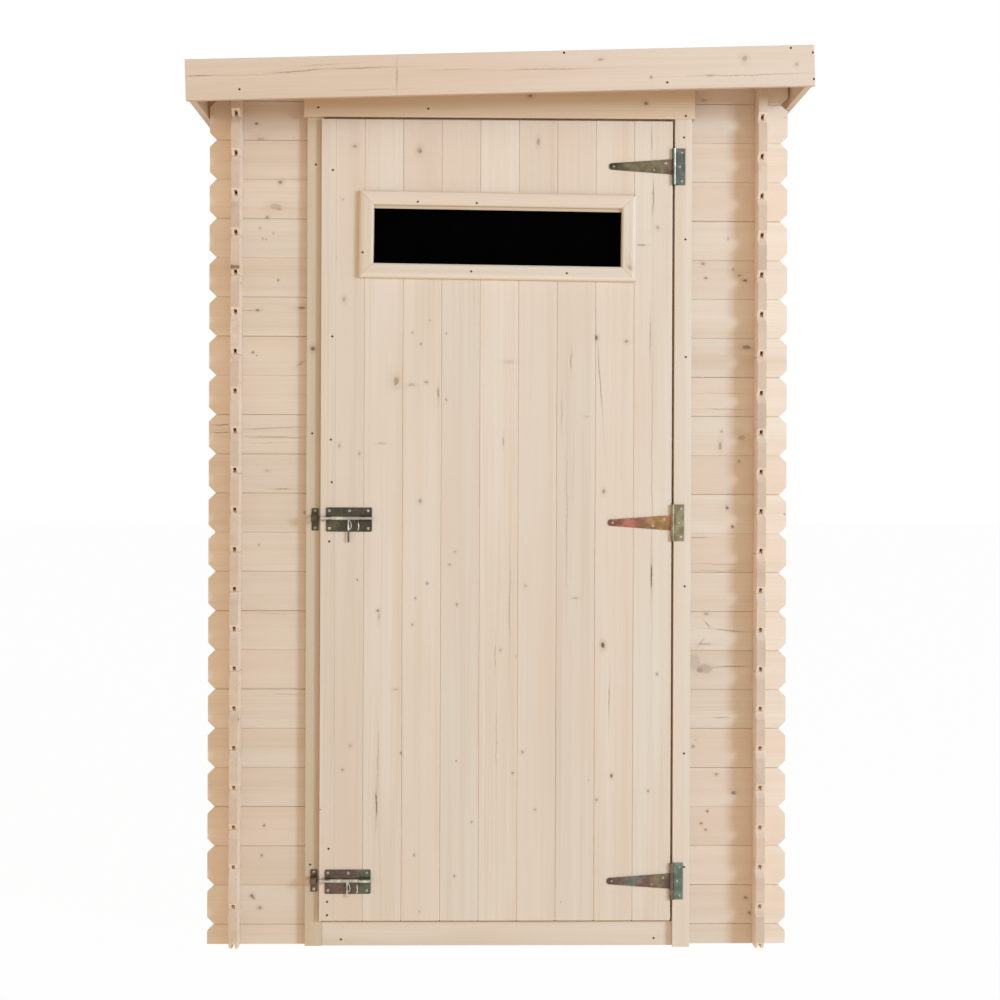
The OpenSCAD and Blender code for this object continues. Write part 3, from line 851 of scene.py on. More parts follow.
def spruce_group():
    """Planed spruce: growth rings round a pith, streaks, warm patches and scattered knots. Wood is the
    place in the board, along, across and through it, and Shift sets the board apart. The painted light
    input is added to its brightness: the painted highlight on eased edges and the painted light on log
    ends."""
    wood = bpy.context.scene.shed_wood
    shade, given, result = new_group(
        "spruce",
        [
            ("Wood", "Vector", None),
            ("Shift", "Vector", None),
            ("End", "Float", 0.0),
            ("Painted_Light", "Float", 0.0),
            ("Pale", "Color", wood.pale),
            ("Deep", "Color", wood.deep),
            ("Blush", "Color", wood.blush),
            ("Knot", "Color", wood.knot),
            ("Ring Gap", "Float", 0.0042),
            ("Contrast", "Float", 0.30),
            ("Knot Share", "Float", 0.3),
            ("Lines", "Float", 0.5),
            ("Marks", "Float", 0.0),
        ],
    )
    place = shade.vector("ADD", given["Wood"], given["Shift"])
    chance = shade.node("ShaderNodeTexWhiteNoise", {"Vector": given["Shift"]})
    odds = shade.parts(chance.outputs["Color"])
    own = shade.parts(given["Wood"])

    # scattered knots, a little longer along the board
    along = 11.0
    across = 20.0
    cells = shade.vector("MULTIPLY", place, (along, across, 0.0))
    spots = shade.node("ShaderNodeTexVoronoi", {"Vector": cells, "Scale": 1.0}, voronoi_dimensions="2D")
    away = shade.vector("SUBTRACT", cells, spots.outputs["Position"])
    away = shade.vector("MULTIPLY", away, (0.6 / along, 1.0 / across, 0.0))
    wobble = shade.noise(place, 160.0, 1.0)
    gap = shade.times(shade.vector("LENGTH", away, out=1), shade.ramp(wobble, 0.3, 0.7, 0.75, 1.25))
    kind = shade.parts(spots.outputs["Color"])
    there = shade.math("LESS_THAN", kind["X"], given["Knot Share"])
    size = shade.times(there, shade.ramp(shade.math("POWER", kind["Y"], 2.5), 0.0, 1.0, 0.0012, 0.0062))
    share = shade.math("DIVIDE", gap, shade.math("MAXIMUM", size, 0.00001))
    core = shade.times(there, shade.ramp(share, 1.05, 0.7))
    halo = shade.times(there, shade.ramp(share, 2.8, 0.9))
    heart = shade.times(core, shade.ramp(kind["Z"], 0.2, 0.9, 0.35, 1.0))
    pull = shade.times(there, shade.ramp(share, 6.0, 0.8))
    pull = shade.times(pull, shade.ramp(kind["Y"], 0.2, 0.9))

    # growth rings round a pith that lies off the board
    bend = shade.noise(place, (0.9, 5.0, 5.0), 2.0)
    side = shade.plus(own["Y"], shade.line(odds["X"], -0.07, 0.07))
    side = shade.plus(side, shade.line(bend, -0.05, 0.05))
    deep = shade.plus(own["Z"], shade.line(odds["Y"], 0.015, 0.07))
    radius = shade.plus(shade.math("POWER", side, 2.0), shade.math("POWER", deep, 2.0))
    radius = shade.math("SQRT", radius)
    radius = shade.plus(radius, shade.times(pull, 0.012))
    waver = shade.noise(place, (4.0, 60.0, 60.0), 2.0)
    radius = shade.plus(radius, shade.times(waver, 0.0016))
    turn = shade.math("FRACT", shade.math("DIVIDE", radius, given["Ring Gap"]))
    ring = shade.times(shade.math("POWER", turn, 3.0), shade.ramp(turn, 1.0, 0.86))

    # fibres, broad streaks and a few resin lines
    fibre = shade.noise(place, (2.0, 150.0, 150.0), 3.0, 0.6)
    strip = shade.noise(place, (0.8, 38.0, 38.0), 2.0)
    broad = shade.noise(place, (1.1, 13.0, 13.0), 2.0)
    resin = shade.noise(place, (2.6, 75.0, 75.0), 1.0)
    lines = shade.times(shade.ramp(resin, 0.69, 0.80), given["Lines"])
    tone = shade.times(shade.times(ring, given["Contrast"]), shade.ramp(broad, 0.3, 0.7, 0.6, 2.0))
    tone = shade.plus(tone, shade.ramp(fibre, 0.35, 0.75, -0.03, 0.14))
    tone = shade.plus(tone, shade.ramp(strip, 0.40, 0.75, -0.03, 0.22))
    tone = shade.plus(tone, shade.ramp(broad, 0.40, 0.72, -0.02, 0.20))
    tone = shade.plus(tone, shade.times(pull, 0.22))
    tone = shade.plus(tone, shade.times(lines, 0.7), clamp=True)
    colour = shade.mix(tone, given["Pale"], given["Deep"])

    # warm patches, and boards that are a little darker or lighter
    patch = shade.noise(place, (1.3, 7.0, 7.0), 2.0)
    warm = shade.plus(shade.ramp(patch, 0.4, 0.75, 0.0, 0.5), shade.ramp(odds["Z"], 0.3, 1.0, 0.0, 0.4))
    colour = shade.mix(warm, colour, given["Blush"])
    level = shade.line(odds["X"], 0.95, 1.04)
    cut = shade.times(given["End"], shade.line(odds["Y"], 0.22, 0.0))
    level = shade.times(level, shade.math("SUBTRACT", 1.0, cut))
    # painted light: the highlight on eased edges and the paler log ends are added here
    level = shade.plus(level, given["Painted_Light"])
    green = shade.times(level, shade.line(given["End"], 1.0, 0.95))
    blue = shade.times(level, shade.line(given["End"], 1.0, 0.89))
    grey = shade.node("ShaderNodeCombineXYZ", {0: level, 1: green, 2: blue}).outputs[0]
    colour = shade.mix(1.0, colour, grey, "MULTIPLY")

    # knots and marks
    colour = shade.mix(shade.times(halo, 0.28), colour, given["Deep"])
    colour = shade.mix(shade.times(heart, 0.85), colour, given["Knot"])
    colour = shade.mix(given["Marks"], colour, given["Knot"])
    rough = shade.math("SUBTRACT", shade.ramp(fibre, 0.2, 0.8, 0.52, 0.68), shade.times(core, 0.12))
    height = shade.plus(shade.times(fibre, 0.5), shade.times(ring, 0.35))
    shade.feed(result["Color"], colour)
    shade.feed(result["Roughness"], rough)
    shade.feed(result["Height"], height)
    return shade.tree


def mark_group():
    """One mark in the wood, such as a knot or a crack: a soft oval at Place with a pale halo, whose
    reach is one over its half sizes. Lean shears it, and it is laid over the marks Before it."""
    shade, given, result = new_group(
        "mark",
        [
            ("Vector", "Vector", None),
            ("Place", "Vector", None),
            ("Reach", "Vector", None),
            ("Lean", "Vector", None),
            ("Strength", "Float", 1.0),
            ("Before", "Float", 0.0),
        ],
        [("Mask", "Float")],
    )
    away = shade.vector("SUBTRACT", given["Vector"], given["Place"])
    parts = shade.parts(away)
    swapped = shade.node("ShaderNodeCombineXYZ", {0: parts["Z"], 2: parts["X"]}).outputs[0]
    away = shade.vector("SUBTRACT", away, shade.vector("MULTIPLY", swapped, given["Lean"]))
    far = shade.vector("LENGTH", shade.vector("MULTIPLY", away, given["Reach"]), out=1)
    shape = shade.math("MAXIMUM", shade.ramp(far, 1.1, 0.5), shade.ramp(far, 2.6, 0.8, 0.0, 0.22))
    mask = shade.times(shape, given["Strength"])
    shade.feed(result["Mask"], shade.math("MAXIMUM", mask, given["Before"]))
    return shade.tree


def new_material(name):
    """An empty material with a principled shader."""
    material = bpy.data.materials.new(name)
    material.use_nodes = True
    return material, Shade(material.node_tree), material.node_tree.nodes["Principled BSDF"]


def finish_surface(shade, surface, colour, rough, height, strength, depth, invert=False):
    """Feeds a colour, a roughness and the bumps of a height to a material's shader."""
    values = {"Height": height, "Strength": strength, "Distance": depth}
    bump = shade.node("ShaderNodeBump", values, invert=invert)
    shade.feed(surface.inputs["Base Color"], colour)
    shade.feed(surface.inputs["Roughness"], rough)
    shade.feed(surface.inputs["Normal"], bump.outputs["Normal"])


def marks_on(shade, marks, upright):
    """The mask of a list of marks, each (x, z, half width, half height, strength) with an optional
    lean, in metres, on boards that face the front and run upright or level."""
    place = shade.place()
    wave = shade.noise(place, 18.0, 2.0)
    fine = shade.noise(place, 240.0, 1.0)
    sway = shade.ramp(wave, 0.2, 0.8, -0.0014, 0.0014)
    sway = shade.plus(sway, shade.ramp(fine, 0.2, 0.8, -0.0007, 0.0007))
    still = shade.ramp(fine, 0.2, 0.8, 0.001, -0.001)
    steps = {0: sway, 2: still} if upright else {0: still, 2: sway}
    moved = shade.vector("ADD", place, shade.node("ShaderNodeCombineXYZ", steps).outputs[0])
    mask = 0.0
    for x, z, half_x, half_z, strength, *lean in marks:
        slope = lean[0] if lean else 0.0
        node = shade.node("ShaderNodeGroup", node_tree=GROUPS["mark"])
        shade.feed(node.inputs["Vector"], moved)
        node.inputs["Place"].default_value = (x, 0, z)
        node.inputs["Reach"].default_value = (1 / half_x, 0, 1 / half_z)
        node.inputs["Lean"].default_value = (slope, 0, 0) if upright else (0, 0, slope)
        node.inputs["Strength"].default_value = strength
        shade.feed(node.inputs["Before"], mask)
        mask = node.outputs["Mask"]
    return mask


def spruce(name, marks=(), upright=False, tint=(1.0, 1.0, 1.0), arris=0.0, bleach=None, **values):
    """A spruce material with its own marks, tint and group values. Arris is how much paler its eased edges
    are, a painted highlight, and past the two distances from the middle of the shed given after it, the
    wood is painted paler: painted light on the log ends that stand past the walls."""
    material, shade, surface = new_material(name)
    end = shade.attribute("end_grain", "Fac")
    own = {"Wood": shade.attribute("wood"), "Shift": shade.attribute("shift"), "End": end}
    group = shade.node("ShaderNodeGroup", own, node_tree=GROUPS["spruce"])
    # painted highlight: the eased edges are painted paler
    edge = shade.times(shade.attribute("arris", "Fac"), arris)
    # painted light: past the given distances the log ends are painted paler
    if bleach:
        parts = shade.parts(shade.place())
        past = [shade.math("ABSOLUTE", parts[axis]) for axis in ("X", "Y")]
        past = [shade.ramp(far, limit - 0.004, limit) for far, limit in zip(past, bleach)]
        out = shade.times(shade.math("MAXIMUM", *past), shade.math("SUBTRACT", 1.0, end))
        edge = shade.plus(edge, shade.times(out, 0.12))
    shade.feed(group.inputs["Painted_Light"], edge)
    for title, value in values.items():
        group.inputs[title.replace("_", " ").title()].default_value = value
    if marks:
        shade.feed(group.inputs["Marks"], marks_on(shade, marks, upright))
    for title in ("Pale", "Deep", "Blush"):
        colour = group.inputs[title].default_value
        group.inputs[title].default_value = (*(c * t for c, t in zip(colour[:3], tint)), 1)
    finish_surface(shade, surface, *group.outputs, 0.25, 0.0006)
    surface.inputs["Specular IOR Level"].default_value = 0.2
    return material


def zinc_group():
    """Passivated zinc over a tone: soft clouds, flecks and fine drawn lines."""
    shade, given, result = new_group(
        "zinc",
        [
            ("Vector", "Vector", None),
            ("Tone", "Color", (0.2, 0.18, 0.1)),
            ("Fleck", "Float", 0.3),
        ],
    )
    cloud = shade.noise(given["Vector"], 60.0, 2.0)
    fleck = shade.noise(given["Vector"], 520.0, 2.0)
    dark = shade.mix(0.45, given["Tone"], (0.02, 0.018, 0.014))
    colour = shade.mix(shade.ramp(cloud, 0.35, 0.7), dark, given["Tone"])
    light = shade.times(shade.ramp(fleck, 0.58, 0.8), given["Fleck"])
    colour = shade.mix(light, colour, (0.50, 0.47, 0.38))
    drawn = shade.noise(given["Vector"], (60.0, 60.0, 900.0), 1.0)
    shade.feed(result["Color"], colour)
    shade.feed(result["Roughness"], shade.ramp(fleck, 0.2, 0.8, 0.30, 0.50))
    shade.feed(result["Height"], shade.plus(drawn, shade.times(fleck, 0.4)))
    return shade.tree


def zinc(name, tones, low=0.0, high=1.0, fleck=0.3):
    """A zinc material whose tones follow each other from one place along X to another."""
    material, shade, surface = new_material(name)
    place = shade.place()
    group = shade.node("ShaderNodeGroup", node_tree=GROUPS["zinc"])
    shade.feed(group.inputs["Vector"], place)
    group.inputs["Fleck"].default_value = fleck
    if len(tones) == 1:
        group.inputs["Tone"].default_value = (*tones[0], 1)
    else:
        sway = shade.ramp(shade.noise(place, 45.0, 2.0), 0.2, 0.8, -0.12, 0.12)
        x = shade.parts(place)["X"]
        run = shade.plus(shade.ramp(x, low, high, kind="LINEAR"), sway, clamp=True)
        band = shade.node("ShaderNodeValToRGB", {"Fac": run})
        ramp = band.color_ramp
        ramp.interpolation = "EASE"
        while len(ramp.elements) < len(tones):
            ramp.elements.new(0.5)
        for k, tone in enumerate(tones):
            ramp.elements[k].position = k / (len(tones) - 1)
        for k, tone in enumerate(tones):
            ramp.elements[k].color = (*tone, 1)
        shade.feed(group.inputs["Tone"], band.outputs["Color"])
    finish_surface(shade, surface, *group.outputs, 0.15, 0.0002)
    surface.inputs["Metallic"].default_value = 0.7
    return material


def felt():
    """Roofing felt covered with mineral grains."""
    material, shade, surface = new_material("roof_felt")
    place = shade.place()
    grains = shade.node("ShaderNodeTexVoronoi", {"Vector": place, "Scale": 620.0})
    tint = shade.parts(grains.outputs["Color"])["X"]
    patch = shade.noise(place, 5.0, 3.0)
    base = tuple(bpy.context.scene.shed_roof.felt)
    light, dim = (tuple(part * share for part in base) for share in (2.3, 0.7))
    colour = shade.mix(shade.ramp(tint, 0.3, 1.0), base, light)
    colour = shade.mix(shade.ramp(patch, 0.35, 0.7, 0.0, 0.5), colour, dim)
    rough = shade.ramp(tint, 0.0, 1.0, 0.75, 0.95)
    finish_surface(shade, surface, colour, rough, grains.outputs["Distance"], 0.6, 0.0008, invert=True)
    return material


def dark_pane():
    """A near-black sheet with a faint gloss and a little dust; its black is painted shade, the dark inside
    of the shed behind the pane.
    """
    material, shade, surface = new_material("dark_pane")
    dust = shade.noise(shade.place(), 9.0, 4.0, 0.6)
    clean, dusty = (0.0004, 0.0004, 0.0005), (0.0012, 0.0012, 0.0012)
    colour = shade.mix(shade.ramp(dust, 0.45, 0.8, 0.0, 0.5), clean, dusty)
    shade.feed(surface.inputs["Base Color"], colour)
    shade.feed(surface.inputs["Roughness"], shade.ramp(dust, 0.3, 0.8, 0.3, 0.5))
    surface.inputs["Specular IOR Level"].default_value = 0.004
    return material


GROUPS = {}
LOOKS = {}


# ---- small shapes ----


def lathe(outline, segments):
    """A closed mesh of an outline of (radius, height) points turned about Z. It starts and ends on
    the axis."""
    bm = bmesh.new()
    rings = []
    for radius, height in outline:
        if radius == 0:
            rings.append([bm.verts.new((0, 0, height))])
            continue
        angles = [math.tau * k / segments for k in range(segments)]
        spots = [(radius * math.cos(a), radius * math.sin(a), height) for a in angles]
        rings.append([bm.verts.new(spot) for spot in spots])
    for low, high in zip(rings, rings[1:]):
        for k in range(segments):
            after = (k + 1) % segments
            corners = [low[k % len(low)], low[after % len(low)]]
            corners += [high[after % len(high)], high[k % len(high)]]
            bm.faces.new(list(dict.fromkeys(corners)))
    return bm


def nail_mesh(name, radius, proud):
    """A nail's head with a slight dome, and a little of its shank."""
    shank = (radius * 0.5, -0.0015)
    edge = (radius * 0.96, 0)
    dome = (radius * 0.86, proud * 0.7)
    return mesh_from(name, lathe([(0, -0.0015), shank, edge, dome, (0, proud)], 10))


def screw_mesh(name, radius):
    """A raised countersunk screw head with a cross recess."""
    outline = [
        (0, -0.0016),
        (radius * 0.5, -0.0016),
        (radius, 0),
        (radius * 0.92, 0.0003),
        (radius * 0.55, 0.0007),
        (0, 0.0009),
    ]
    head = mesh_from(name, lathe(outline, 16))
    arm = radius * 0.62
    half = radius * 0.13
    cross = [
        (half, arm), (-half, arm), (-half, half), (-arm, half), (-arm, -half), (-half, -half),
        (-half, -arm), (half, -arm), (half, -half), (arm, -half), (arm, half), (half, half),
    ]
    recess = bmesh.new()
    add_prism(recess, [(x, y, 0) for x, y in cross], (0, 0, -0.0004), (0, 0, 0.003))
    return cut_away(head, recess)


def add_wire(bm, points, radius, segments=8):
    """Adds a round wire with domed ends along a path of points."""
    points = [Vector(point) for point in points]
    side = Vector((0.31, 0.93, 0.19))
    rings = []
    for k, point in enumerate(points):
        way = (points[min(k + 1, len(points) - 1)] - points[max(k - 1, 0)]).normalized()
        side = (side - way * side.dot(way)).normalized()
        across = way.cross(side)
        angles = [math.tau * j / segments for j in range(segments)]
        spokes = [side * math.cos(a) + across * math.sin(a) for a in angles]
        sizes = [(0.0, radius)]
        if k == 0:
            sizes = [(-0.6 * radius, 0.6 * radius), (0.0, radius)]
        elif k == len(points) - 1:
            sizes = [(0.0, radius), (0.6 * radius, 0.6 * radius)]
        for ahead, size in sizes:
            rings.append([bm.verts.new(point + way * ahead + spoke * size) for spoke in spokes])
    for low, high in zip(rings, rings[1:]):
        for k in range(segments):
            after = (k + 1) % segments
            bm.faces.new((low[k], low[after], high[after], high[k]))
    bm.faces.new(list(reversed(rings[0])))
    bm.faces.new(rings[-1])


def curve_points(corners, steps=4):
    """A smooth path through corner points."""
    corners = [Vector(corner) for corner in corners]
    path = []
    ends = [corners[0], *corners, corners[-1]]
    for before, start, end, after in zip(ends, ends[1:], ends[2:], ends[3:]):
        for k in range(steps):
            t = k / steps
            path.append(
                0.5 * (2 * start + (end - before) * t + (2 * before - 5 * start + 4 * end - after) * t * t
                       + (3 * start - before - 3 * end + after) * t ** 3)
            )
    path.append(corners[-1])
    return path


def add_plate(bm, low, high, radius):
    """Adds a sheet that faces the front, with rounded corners."""
    outline = []
    for corner_x, corner_z, start in (
        (high[0] - radius, high[2] - radius, 0),
        (low[0] + radius, high[2] - radius, 90),
        (low[0] + radius, low[2] + radius, 180),
        (high[0] - radius, low[2] + radius, 270),
    ):
        for step in range(4):
            angle = math.radians(start + step * 30)
            outline.append((corner_x + radius * math.cos(angle), 0, corner_z + radius * math.sin(angle)))
    add_prism(bm, outline, (0, low[1], 0), (0, high[1] - low[1], 0))


def add_barrel(bm, x0, x1, base, axis_y, axis_z, bore, sheet):
    """Adds a pressed strap that arches over a rod along X and stands on the plane y = base."""
    angles = [math.pi * k / 8 for k in range(9)]
    outer = bore + sheet
    outline = [(0, base, axis_z - outer)]
    outline += [(0, axis_y - outer * math.sin(a), axis_z - outer * math.cos(a)) for a in angles]
    outline += [(0, base, axis_z + outer), (0, base, axis_z + bore)]
    outline += [(0, axis_y - bore * math.sin(a), axis_z + bore * math.cos(a)) for a in angles]
    outline += [(0, base, axis_z - bore)]
    add_prism(bm, outline, (x0, 0, 0), (x1 - x0, 0, 0))


def mitred_frame(name, wide, tall, section):
    """Four mitred boards round an opening, centred on the origin and facing the front. Section is a
    list of (distance from the outer edge, depth) points."""
    bm = bmesh.new()

    def cut_end(x, z, shift):
        places = [Vector((x * (wide / 2 - w), d, z * (tall / 2 - w))) + shift for w, d in section]
        return [bm.verts.new(place) for place in places]

    corners = [(-1, -1), (1, -1), (1, 1), (-1, 1)]
    for k, (x0, z0) in enumerate(corners):
        x1, z1 = corners[(k + 1) % 4]
        gap = Vector((x1 - x0, 0, z1 - z0)).normalized() * MITRE_GAP
        start = cut_end(x0, z0, gap)
        end = cut_end(x1, z1, -gap)
        for j in range(len(section)):
            after = (j + 1) % len(section)
            bm.faces.new((start[j], start[after], end[after], end[j]))
        bm.faces.new(list(reversed(start)))
        bm.faces.new(end)
    bmesh.ops.recalc_face_normals(bm, faces=bm.faces)
    ease_edges(bm, 0.0004, 1)
    return mesh_from(name, bm)


# ---- the shed's own shapes ----


def roof_plane():
    """A point on the underside of the roof deck and its upward normal."""
    left_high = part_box("left_wall")[1]
    right_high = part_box("right_wall")[1]
    rise = (right_high.z - left_high.z) / (right_high.x - left_high.x)
    return Vector((right_high.x, 0, right_high.z)), Vector((-rise, 0, 1)).normalized()


def roof_frame():
    """The matrix from the level frame of the roof to the shed's."""
    point, normal = roof_plane()
    return Matrix.Translation(point) @ Matrix.Rotation(-math.atan2(-normal.x, normal.z), 4, "Y")


def roof_box(node):
    """The lowest and highest corner of a node in the level frame of the roof."""
    flat = roof_frame().inverted()
    places = np.array([flat @ v.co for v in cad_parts[node].data.vertices])
    return Vector(places.min(0)), Vector(places.max(0))


def on_fascia(x, down):
    """The place of a point on the front fascia, given as x and a distance below its upper edge."""
    low, high = roof_box("front_fascia")
    return roof_frame() @ Vector((x - roof_frame().translation.x, low.y, high.z - down))


def fascia_marks():
    """The fascia's marks as x and z, leaning with the roof."""
    rise = -roof_plane()[1].x
    for x, down, half_x, half_z, strength, *lean in FASCIA_MARKS:
        slope = lean[0] if lean else 0.0
        lean = (slope + rise,) if half_x > half_z else ()
        yield (x, on_fascia(x, down).z, half_x, half_z, strength, *lean)


def log_mesh(name, start, end, thick, cuts, crossings):
    """One log that lies along X with its outer face on y = 0: a tongue on top, a groove below, slanted
    cuts at the ends named in cuts and notches for the crossing logs."""
    wood = bpy.context.scene.shed_wood
    high = wood.log_height
    arris = wood.arris
    tongue = wood.tongue / 2
    tongue_high = 0.007
    groove = tongue + 0.0006
    groove_deep = 0.012
    middle = thick / 2
    top = high - LOG_SEAM
    outline = [
        (arris, 0),
        (middle - groove, 0),
        (middle - groove, groove_deep),
        (middle + groove, groove_deep),
        (middle + groove, 0),
        (thick - arris, 0),
        (thick, arris),
        (thick, top - arris),
        (thick - arris, top),
        (middle + tongue, top),
        (middle + tongue, top + tongue_high),
        (middle - tongue, top + tongue_high),
        (middle - tongue, top),
        (arris, top),
        (0, top - arris),
        (0, arris),
    ]
    bm = bmesh.new()
    add_prism(bm, [(0, y, z) for y, z in outline], (start, 0, 0), (end - start, 0, 0))
    log = mesh_from(name, bm)
    cutters = bmesh.new()
    cut = wood.end_cut
    far = 2 * PAST
    for x in cuts:
        way = 1 if x == end else -1
        low_cut = [(x + way * far, cut + far), (x - way * (cut + far), -far), (x + way * far, -far)]
        high_cut = [(px, high - pz) for px, pz in low_cut]
        for shape in (low_cut, high_cut):
            add_prism(cutters, [(px, 0, pz) for px, pz in shape], (0, -PAST, 0), (0, thick + 2 * PAST, 0))
    half = thick / 2 + LOG_SEAM
    for x in crossings:
        for z0, z1 in ((-far, high / 4), (high * 3 / 4, high + far)):
            add_box(cutters, (x - half, -PAST, z0), (x + half, thick + PAST, z1))
    if cutters.verts:
        log = cut_away(log, cutters)
    else:
        cutters.free()
    return log


def stack(name, log, first, count, turn, place, seed):
    """A stack of logs whose first log starts at a height, turned about Z and moved to its place."""
    rise = (0, 0, bpy.context.scene.shed_wood.log_height)
    mesh = row(name, log, count, rise, LOOKS["log"], (0, 0.0006, 0.0005), seed)
    spot = Matrix.Translation(place) @ Matrix.Rotation(turn, 4, "Z")
    mesh.transform(spot @ Matrix.Translation((0, 0, first)))
    return mesh


def board_row(name, low, high, axis, width, chamfer, look, seed=1):
    """Boards side by side that fill a box, with a vee at each joint: axis is the one they repeat on."""
    low, high = Vector(low), Vector(high)
    count = max(1, round((high[axis] - low[axis]) / width))
    pitch = (high[axis] - low[axis]) / count
    corner = high.copy()
    corner[axis] = low[axis] + pitch - BOARD_SEAM - BOARD_SLACK
    start = low.copy()
    start[axis] += BOARD_SEAM
    bm = bmesh.new()
    add_box(bm, start, corner)
    ease_edges(bm, chamfer, 1)
    step = Vector((0, 0, 0))
    step[axis] = pitch
    play = Vector((0, 0, 0))
    play[axis] = BOARD_SLACK
    return row(name, mesh_from(name, bm), count, step, LOOKS[look], play, seed)


def deck(name, node, low, high, axis, chamfer, seed, place=None):
    """Plain boards in place of a node, laid in a box and then moved to their place."""
    width = bpy.context.scene.shed_wood.deck_board
    mesh = board_row(name, low, high, axis, width, chamfer, "deck")
    mark_grain(mesh, seed)
    if place is not None:
        mesh.transform(place)
    show(name, mesh, "deck", "shed", "log_wood", node)


def trim_piece(name, node, body, look, seed, tilt=0.0, sink=0.0):
    """A CAD board with eased edges and its own grain, which follows the board's tilt."""
    mesh = mesh_from(name, eased_copy(node, bpy.context.scene.shed_wood.ease, sink=sink))
    level = Matrix.Rotation(tilt, 4, "Y")
    mesh.transform(level)
    mark_grain(mesh, seed)
    mesh.transform(level.inverted())
    show(name, mesh, look, body, "trim_wood", node)


# ---- operators: one for each piece or group of like pieces ----


class SHED_OT_materials(bpy.types.Operator):
    """Make the node trees and materials that the pieces share"""

    bl_idname = "shed.materials"
    bl_label = "Materials"

    def execute(self, context):
        TREES["row"] = row_tree()
        TREES["fixing"] = fixing_tree()
        GROUPS["spruce"] = spruce_group()
        GROUPS["mark"] = mark_group()
        GROUPS["zinc"] = zinc_group()
        LOOKS["felt"] = felt()
        LOOKS["pane"] = dark_pane()

        # painted light: the logs are painted paler only where their ends stand past the faces of the walls
        clear = 0.0045
        bleach = (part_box("right_wall")[1].x + clear, -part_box("front_wall_left")[0].y + clear)
        soft = {"contrast": 0.22, "lines": 0.25, "bleach": bleach}
        marked = {"tint": (0.98, 0.98, 0.95), "knot_share": 0.02, **soft}
        plain = {"tint": (0.97, 0.99, 0.98), "knot_share": 0.02, "contrast": 0.25, "lines": 0.2}
        # painted highlight: the eased edges of the planed boards are painted paler
        plain["arris"] = 0.08
        # painted shade: a darker, browner tint for the recessed closing post, the door stops and the window
        # bead
        brown = {**plain, "tint": (0.82, 0.80, 0.70)}
        # painted shade: a warmer, darker tint for the header, which lies in the shade under the fascia
        head = {"tint": (1.0, 0.93, 0.80), "knot_share": 0.02}
        fascia = {"tint": (0.96, 0.94, 0.91), "knot_share": 0.02}
        woods = {
            "log": ("log_spruce", (), False, {"tint": (0.96, 0.96, 0.93), **soft}),
            "log_left": ("log_spruce_left", LEFT_MARKS, False, marked),
            "log_right": ("log_spruce_right", RIGHT_MARKS, False, marked),
            "door": ("door_spruce", DOOR_MARKS, True, plain),
            "trim": ("trim_spruce", (), False, plain),
            "post": ("post_spruce", POST_MARKS, True, plain),
            "post_brown": ("post_spruce_painted_shade", POST_MARKS, True, brown),
            "header": ("header_spruce_painted_shade", HEADER_MARKS, False, head),
            "fascia": ("fascia_spruce", list(fascia_marks()), False, fascia),
            "deck": ("deck_spruce", (), False, {"tint": (0.95, 0.92, 0.88), "knot_share": 0.4}),
        }
        for look, (name, marks, upright, values) in woods.items():
            LOOKS[look] = spruce(name, marks, upright, **values)

        metal = context.scene.shed_metal
        strap = [corner.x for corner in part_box("middle_hinge_strap")]
        case = [corner.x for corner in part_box("middle_bolt_case")]
        blend = (0.42, 0.21, 0.09)
        blush = (0.27, 0.145, 0.10)
        banded = {
            "strap_top": ((metal.dark, metal.olive, metal.olive, metal.brown), *strap),
            "strap_middle": ((metal.dark, metal.rose, metal.rose, blend, metal.gold, metal.rose), *strap),
            "strap_bottom": ((metal.brown, blush, metal.slate, blush, metal.olive, metal.brown), *strap),
            "case_middle": (((0.11, 0.09, 0.05), (0.085, 0.07, 0.04), (0.09, 0.065, 0.045)), *case),
            "case_lower": ((metal.brown, metal.brown, (0.125, 0.165, 0.085)), *case),
        }
        for look, values in banded.items():
            LOOKS[look] = zinc(f"zinc_{look}", *values)
        even = {
            "plate_top": (metal.slate, 0.3),
            "plate_middle": ((0.34, 0.27, 0.14), 0.3),
            "plate_bottom": (metal.green, 0.3),
            # painted reflection: the darker tone of a handle below its plate
            "wire": ((0.16, 0.12, 0.08), 0.2),
            # bare zinc with a painted highlight
            "bright": (metal.bright, 0.5),
            # painted highlight for the right side of the top knuckle
            "knuckle_top": ((0.62, 0.62, 0.46), 0.5),
            "knuckle_middle": ((0.36, 0.27, 0.15), 0.5),
            "knuckle_bottom": ((0.22, 0.14, 0.10), 0.5),
        }
        for look, (tone, fleck) in even.items():
            LOOKS[look] = zinc(f"zinc_{look}", (tone,), fleck=fleck)
        LOOKS["nail"] = zinc("nail_steel", ((0.07, 0.045, 0.03),), fleck=0.1)
        return {"FINISHED"}


